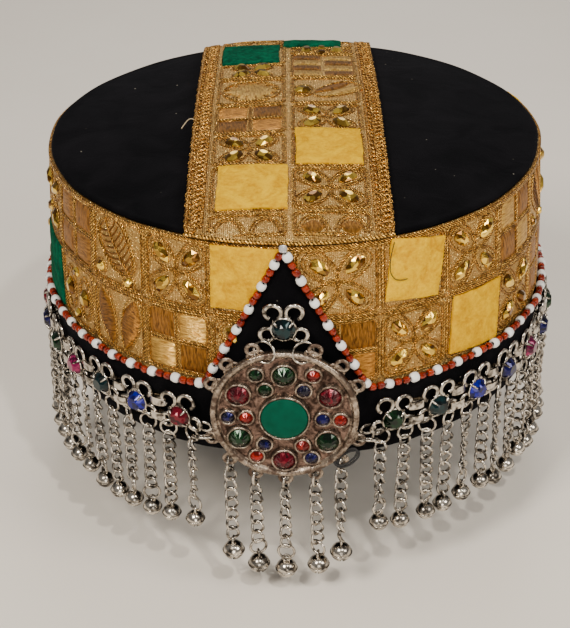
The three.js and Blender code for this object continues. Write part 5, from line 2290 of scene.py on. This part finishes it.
@dataclass
class SideChain:
    """The chain of clover motifs round the cap, with two bell drops on each."""

    count: int = 31
    on_right: int = 16
    first_deg: float = 22.5
    z: float = -66.0
    r: float = 95.6
    bell_z: float = -110.0
    drop_half_deg: float = 2.7
    hang_z: float = -70.0
    hang_out: float = 0.3
    casting_in: float = 0.4
    bell_size: float = 0.88
    large_share: float = 0.4
    strap_half: Pair = (3.3, 1.6)
    strap_high: float = 3.0
    strap_thick: float = 0.55
    strap_in: float = 0.2
    strap_up: Pair = (-2.6, 3.4)
    end_ring_half: Pair = (3.5, 2.5)
    bridge_half: Pair = (2.6, 1.7)

    COLOURS = (GREEN_FOIL, TEAL_FOIL, ROYAL_FOIL, BLUE_FOIL, PINK_FOIL, BLUE_FOIL)
    LEFT_COLOURS = (RED_FOIL, ROYAL_FOIL, TEAL_FOIL, PINK_FOIL, GREEN_FOIL, BLUE_FOIL)
    PALETTE = (BRIGHT_STEEL, RED_FOIL, GREEN_FOIL, BLUE_FOIL, TEAL_FOIL, PINK_FOIL, ROYAL_FOIL)

    def degrees(self, k: float) -> float:
        """The angle from the front of motif k, counted from the medallion's right."""
        return FRONT_DEG + self.first_deg + k * (360.0 - 2 * self.first_deg) / (self.count - 1)

    def strap(self) -> Form:
        """A ring of flat strip that joins two motifs, about an upright axis.

        Returns:
            The ring.
        """
        sides = 16
        outer = ellipse(*self.strap_half, count=sides)
        inner = ellipse(*(half - self.strap_thick for half in self.strap_half), count=sides)
        half = self.strap_high / 2.0
        section = ((outer, -half), (outer, half), (inner, half), (inner, -half))
        lines = [np.column_stack([ring[:, 0], np.full(sides, y), ring[:, 1]]) for ring, y in section]
        points = np.stack(lines, axis=1)
        form = Form()
        form.sheet(points[::-1], np.arange(sides + 1.0), np.arange(5.0), True, True, smooth=False)
        return form

    def build(self, parts: BellWork) -> list[bpy.types.Object]:
        """Makes both halves of the chain.

        Args:
            parts: the small parts that repeat.

        Returns:
            The two halves.
        """
        halves = {"right": range(0, self.on_right), "left": range(self.on_right, self.count)}
        casting = CloverCasting(cup_high=1.2)
        metal, strap, stone = casting.metal(), self.strap(), casting.stone()
        pieces = []
        for side, numbers in halves.items():
            right = side == "right"
            colours = self.COLOURS if right else self.LEFT_COLOURS
            form = Form()
            chance = random.Random(7 if right else 8)
            for k in numbers:
                from_front = k if right else self.count - 1 - k
                wobble = spun(chance.uniform(-5.0, 5.0), "Z")
                height = self.z + chance.uniform(-0.5, 0.5)
                seat = facing(self.degrees(k), self.r - self.casting_in, height) @ wobble
                form.stamp(metal, seat)
                form.stamp(stone, seat, self.PALETTE.index(colours[from_front % len(colours)]))
                for end in (-1.0, 1.0):
                    angle = self.degrees(k) + end * self.drop_half_deg
                    top = facing(angle, self.r + self.hang_out, self.hang_z).to_translation()
                    bell_z = self.bell_z + chance.uniform(-1.4, 1.4)
                    large = chance.random() < self.large_share
                    parts.drop(form, top, angle, bell_z, True, chance, large, self.bell_size)
                if k != self.count - 1:
                    for up in self.strap_up:
                        form.stamp(strap, facing(self.degrees(k + 0.5), self.r - self.strap_in, self.z + up))
            self.end_ring(form, 1.0 if right else -1.0)
            node = f"side_chain_{side}"
            pieces.append(form.piece(f"{node}_links", self.PALETTE, "bright_steel", [node]))
        return pieces

    def end_ring(self, form: Form, side: float) -> None:
        """The ring that joins the chain's end to the medallion.

        Args:
            form: the metal that it is added to.
            side: 1 for the right end, -1 for the left.
        """
        ear = clock(113.0, MEDALLION.r + MEDALLION.ear_out)
        ring = Form()
        ring.tube(ring_path(*self.end_ring_half, 18), Z_UP, 0.55, 7, True)
        seat = MEDALLION.seat() @ Matrix.Translation((side * (ear[0] + 3.1), ear[1], 0.3))
        form.stamp(ring, seat @ spun(62.0, "X"))
        bridge = Form()
        bridge.tube(ring_path(*self.bridge_half, 14), Z_UP, 0.6, 6, True, flat=0.6)
        angle = FRONT_DEG + side * (self.first_deg - 5.4)
        form.stamp(bridge, facing(angle, self.r - self.casting_in, self.z - 3.0))


@dataclass
class LooseThreads:
    """The thread that ties the medallion to the band, a hair of thread, and a loose end of the braid."""

    tie_ear: float = 135.0
    tie_half: Pair = (4.6, 1.7)
    tie_turn: float = 38.0
    tie_middle: Pair = (1.2, 2.9)
    tie_points: int = 26
    tie_out: float = 2.0
    tie_wire: float = 0.42
    hair_lift: float = 3.6
    hair_wire: float = 0.16
    wisp_wire: float = 0.22

    HAIR = ((20.0, 0.3), (19.0, -5.6), (18.9, -11.6), (20.7, -14.6), (23.3, -14.0))
    WISP = ((-35.8, -8.0), (-37.4, -6.6), (-38.6, -8.6), (-39.6, -11.6), (-40.9, -14.6))

    def build(self) -> bpy.types.Object:
        """Makes the threads.

        Returns:
            The threads.
        """
        form = Form()
        ear = clock(self.tie_ear, MEDALLION.r + MEDALLION.ear_out + 0.4)
        hole = MEDALLION.seat() @ Vector((ear[0], ear[1], 0.6))
        across, up = ellipse(*self.tie_half, self.tie_turn, self.tie_middle, self.tie_points).T
        y = hole.y - self.tie_out + np.sin(np.arange(self.tie_points) * TAU / self.tie_points)
        for shift in (0.0, 0.7):
            loop = np.column_stack([hole.x + across + shift, y, hole.z + up - shift])
            form.tube(loop, np.array([0.0, -1.0, 0.0]), self.tie_wire, 6, True)
        hair = smoothed(resample(np.array(self.HAIR), 0.4, False), 5)
        form.tube(SHAPE.on_wall(hair[:, 0], hair[:, 1], self.hair_lift), Z_UP, self.hair_wire, 5)
        wisp = smoothed(resample(np.array(self.WISP), 0.5, False), 2)
        lift = 1.3 + np.sin(np.linspace(0.0, 2.9, len(wisp)))
        form.tube(SHAPE.on_crown(wisp[:, 0], wisp[:, 1], lift), Z_UP, self.wisp_wire, 5, False, 1)
        return form.piece("loose_threads", [BLACK_THREAD, PALE_THREAD], "black_velvet")


@dataclass
class Studio:
    """The plain floor, the soft lights and the camera."""

    floor_z: float = -136.0
    floor_half: float = 4000.0
    camera_at: tuple[float, float, float] = (-1.9, -511.9, 226.2)
    pitch_deg: float = 30.71
    yaw_deg: float = -0.31
    roll_deg: float = -0.88
    focal_px: float = 1500.0
    photo_high_px: float = 628.0
    sensor_mm: float = 36.0
    clip_m: Pair = (0.01, 50.0)
    aim_z: float = -40.0
    glow: tuple[float, float, float, float] = (0.95, 0.93, 0.90, 1.0)
    glow_strength: float = 0.27

    LIGHTS = (
        ("key", (-380.0, -560.0, 640.0), 240.0, 6.2, (1.0, 0.93, 0.83)),
        ("fill", (620.0, -420.0, 420.0), 300.0, 2.8, (1.0, 0.95, 0.88)),
        ("back", (60.0, 640.0, 560.0), 500.0, 2.6, (1.0, 0.97, 0.93)),
        ("low", (40.0, -820.0, 90.0), 300.0, 1.3, (1.0, 0.94, 0.86)),
        ("spark", (200.0, -500.0, 700.0), 40.0, 2.6, (1.0, 0.95, 0.86)),
    )

    def camera(self) -> None:
        """Places the camera where the picture was taken from."""
        pitch, yaw, roll = (math.radians(a) for a in (self.pitch_deg, self.yaw_deg, self.roll_deg))
        forward = Vector((math.sin(yaw) * math.cos(pitch), math.cos(yaw) * math.cos(pitch), -math.sin(pitch)))
        right = Vector((math.cos(yaw), -math.sin(yaw), 0.0))
        up = right.cross(forward)
        level_right = right * math.cos(roll) + up * math.sin(roll)
        level_up = up * math.cos(roll) - right * math.sin(roll)
        data = bpy.data.cameras.new("view")
        data.sensor_fit = "VERTICAL"
        data.sensor_height = self.sensor_mm
        data.lens = self.focal_px / self.photo_high_px * self.sensor_mm
        data.clip_start, data.clip_end = self.clip_m
        camera = bpy.data.objects.new("view", data)
        bpy.context.scene.collection.objects.link(camera)
        basis = Matrix((level_right, level_up, -forward)).transposed().to_4x4()
        camera.matrix_world = Matrix.Translation(Vector(self.camera_at) * MM) @ basis
        bpy.context.scene.camera = camera

    def floor(self) -> None:
        """Lays the floor."""
        half, z = self.floor_half, self.floor_z
        mesh = bpy.data.meshes.new("floor")
        corners = [(-half, -half, z), (half, -half, z), (half, half, z), (-half, half, z)]
        mesh.from_pydata([tuple(c * MM for c in corner) for corner in corners], [], [(0, 1, 2, 3)])
        mesh.materials.append(PALE_FLOOR.material())
        floor = bpy.data.objects.new("floor", mesh)
        bpy.context.scene.collection.objects.link(floor)

    def light(self) -> None:
        """Hangs the lights and sets the room's glow."""
        for name, place, size, power, colour in self.LIGHTS:
            data = bpy.data.lights.new(name, "AREA")
            data.size = size * MM
            data.energy = power
            data.color = colour
            lamp = bpy.data.objects.new(name, data)
            bpy.context.scene.collection.objects.link(lamp)
            lamp.location = Vector(place) * MM
            aim = Vector((0.0, 0.0, self.aim_z)) * MM - lamp.location
            lamp.rotation_euler = aim.to_track_quat("-Z", "Y").to_euler()
        world = bpy.data.worlds.new("room")
        world.use_nodes = True
        glow = world.node_tree.nodes["Background"]
        glow.inputs["Color"].default_value = self.glow
        glow.inputs["Strength"].default_value = self.glow_strength
        bpy.context.scene.world = world

    def build(self) -> None:
        """Sets up the studio."""
        self.camera()
        self.floor()
        self.light()


def main() -> None:
    """Builds the cap, one sub-assembly after another."""
    logging.basicConfig(level=logging.INFO, format="%(message)s")
    Studio().build()
    CapBody().build()
    SideTrim().build()
    CrownTrim().build()
    VelvetPatches().build()
    BAND.build()
    MEDALLION.build()
    PeakClover().build()
    parts = BellWork()
    MedallionDrops().build(parts)
    SideChain().build(parts)
    LooseThreads().build()


if __name__ == "__main__":
    main()
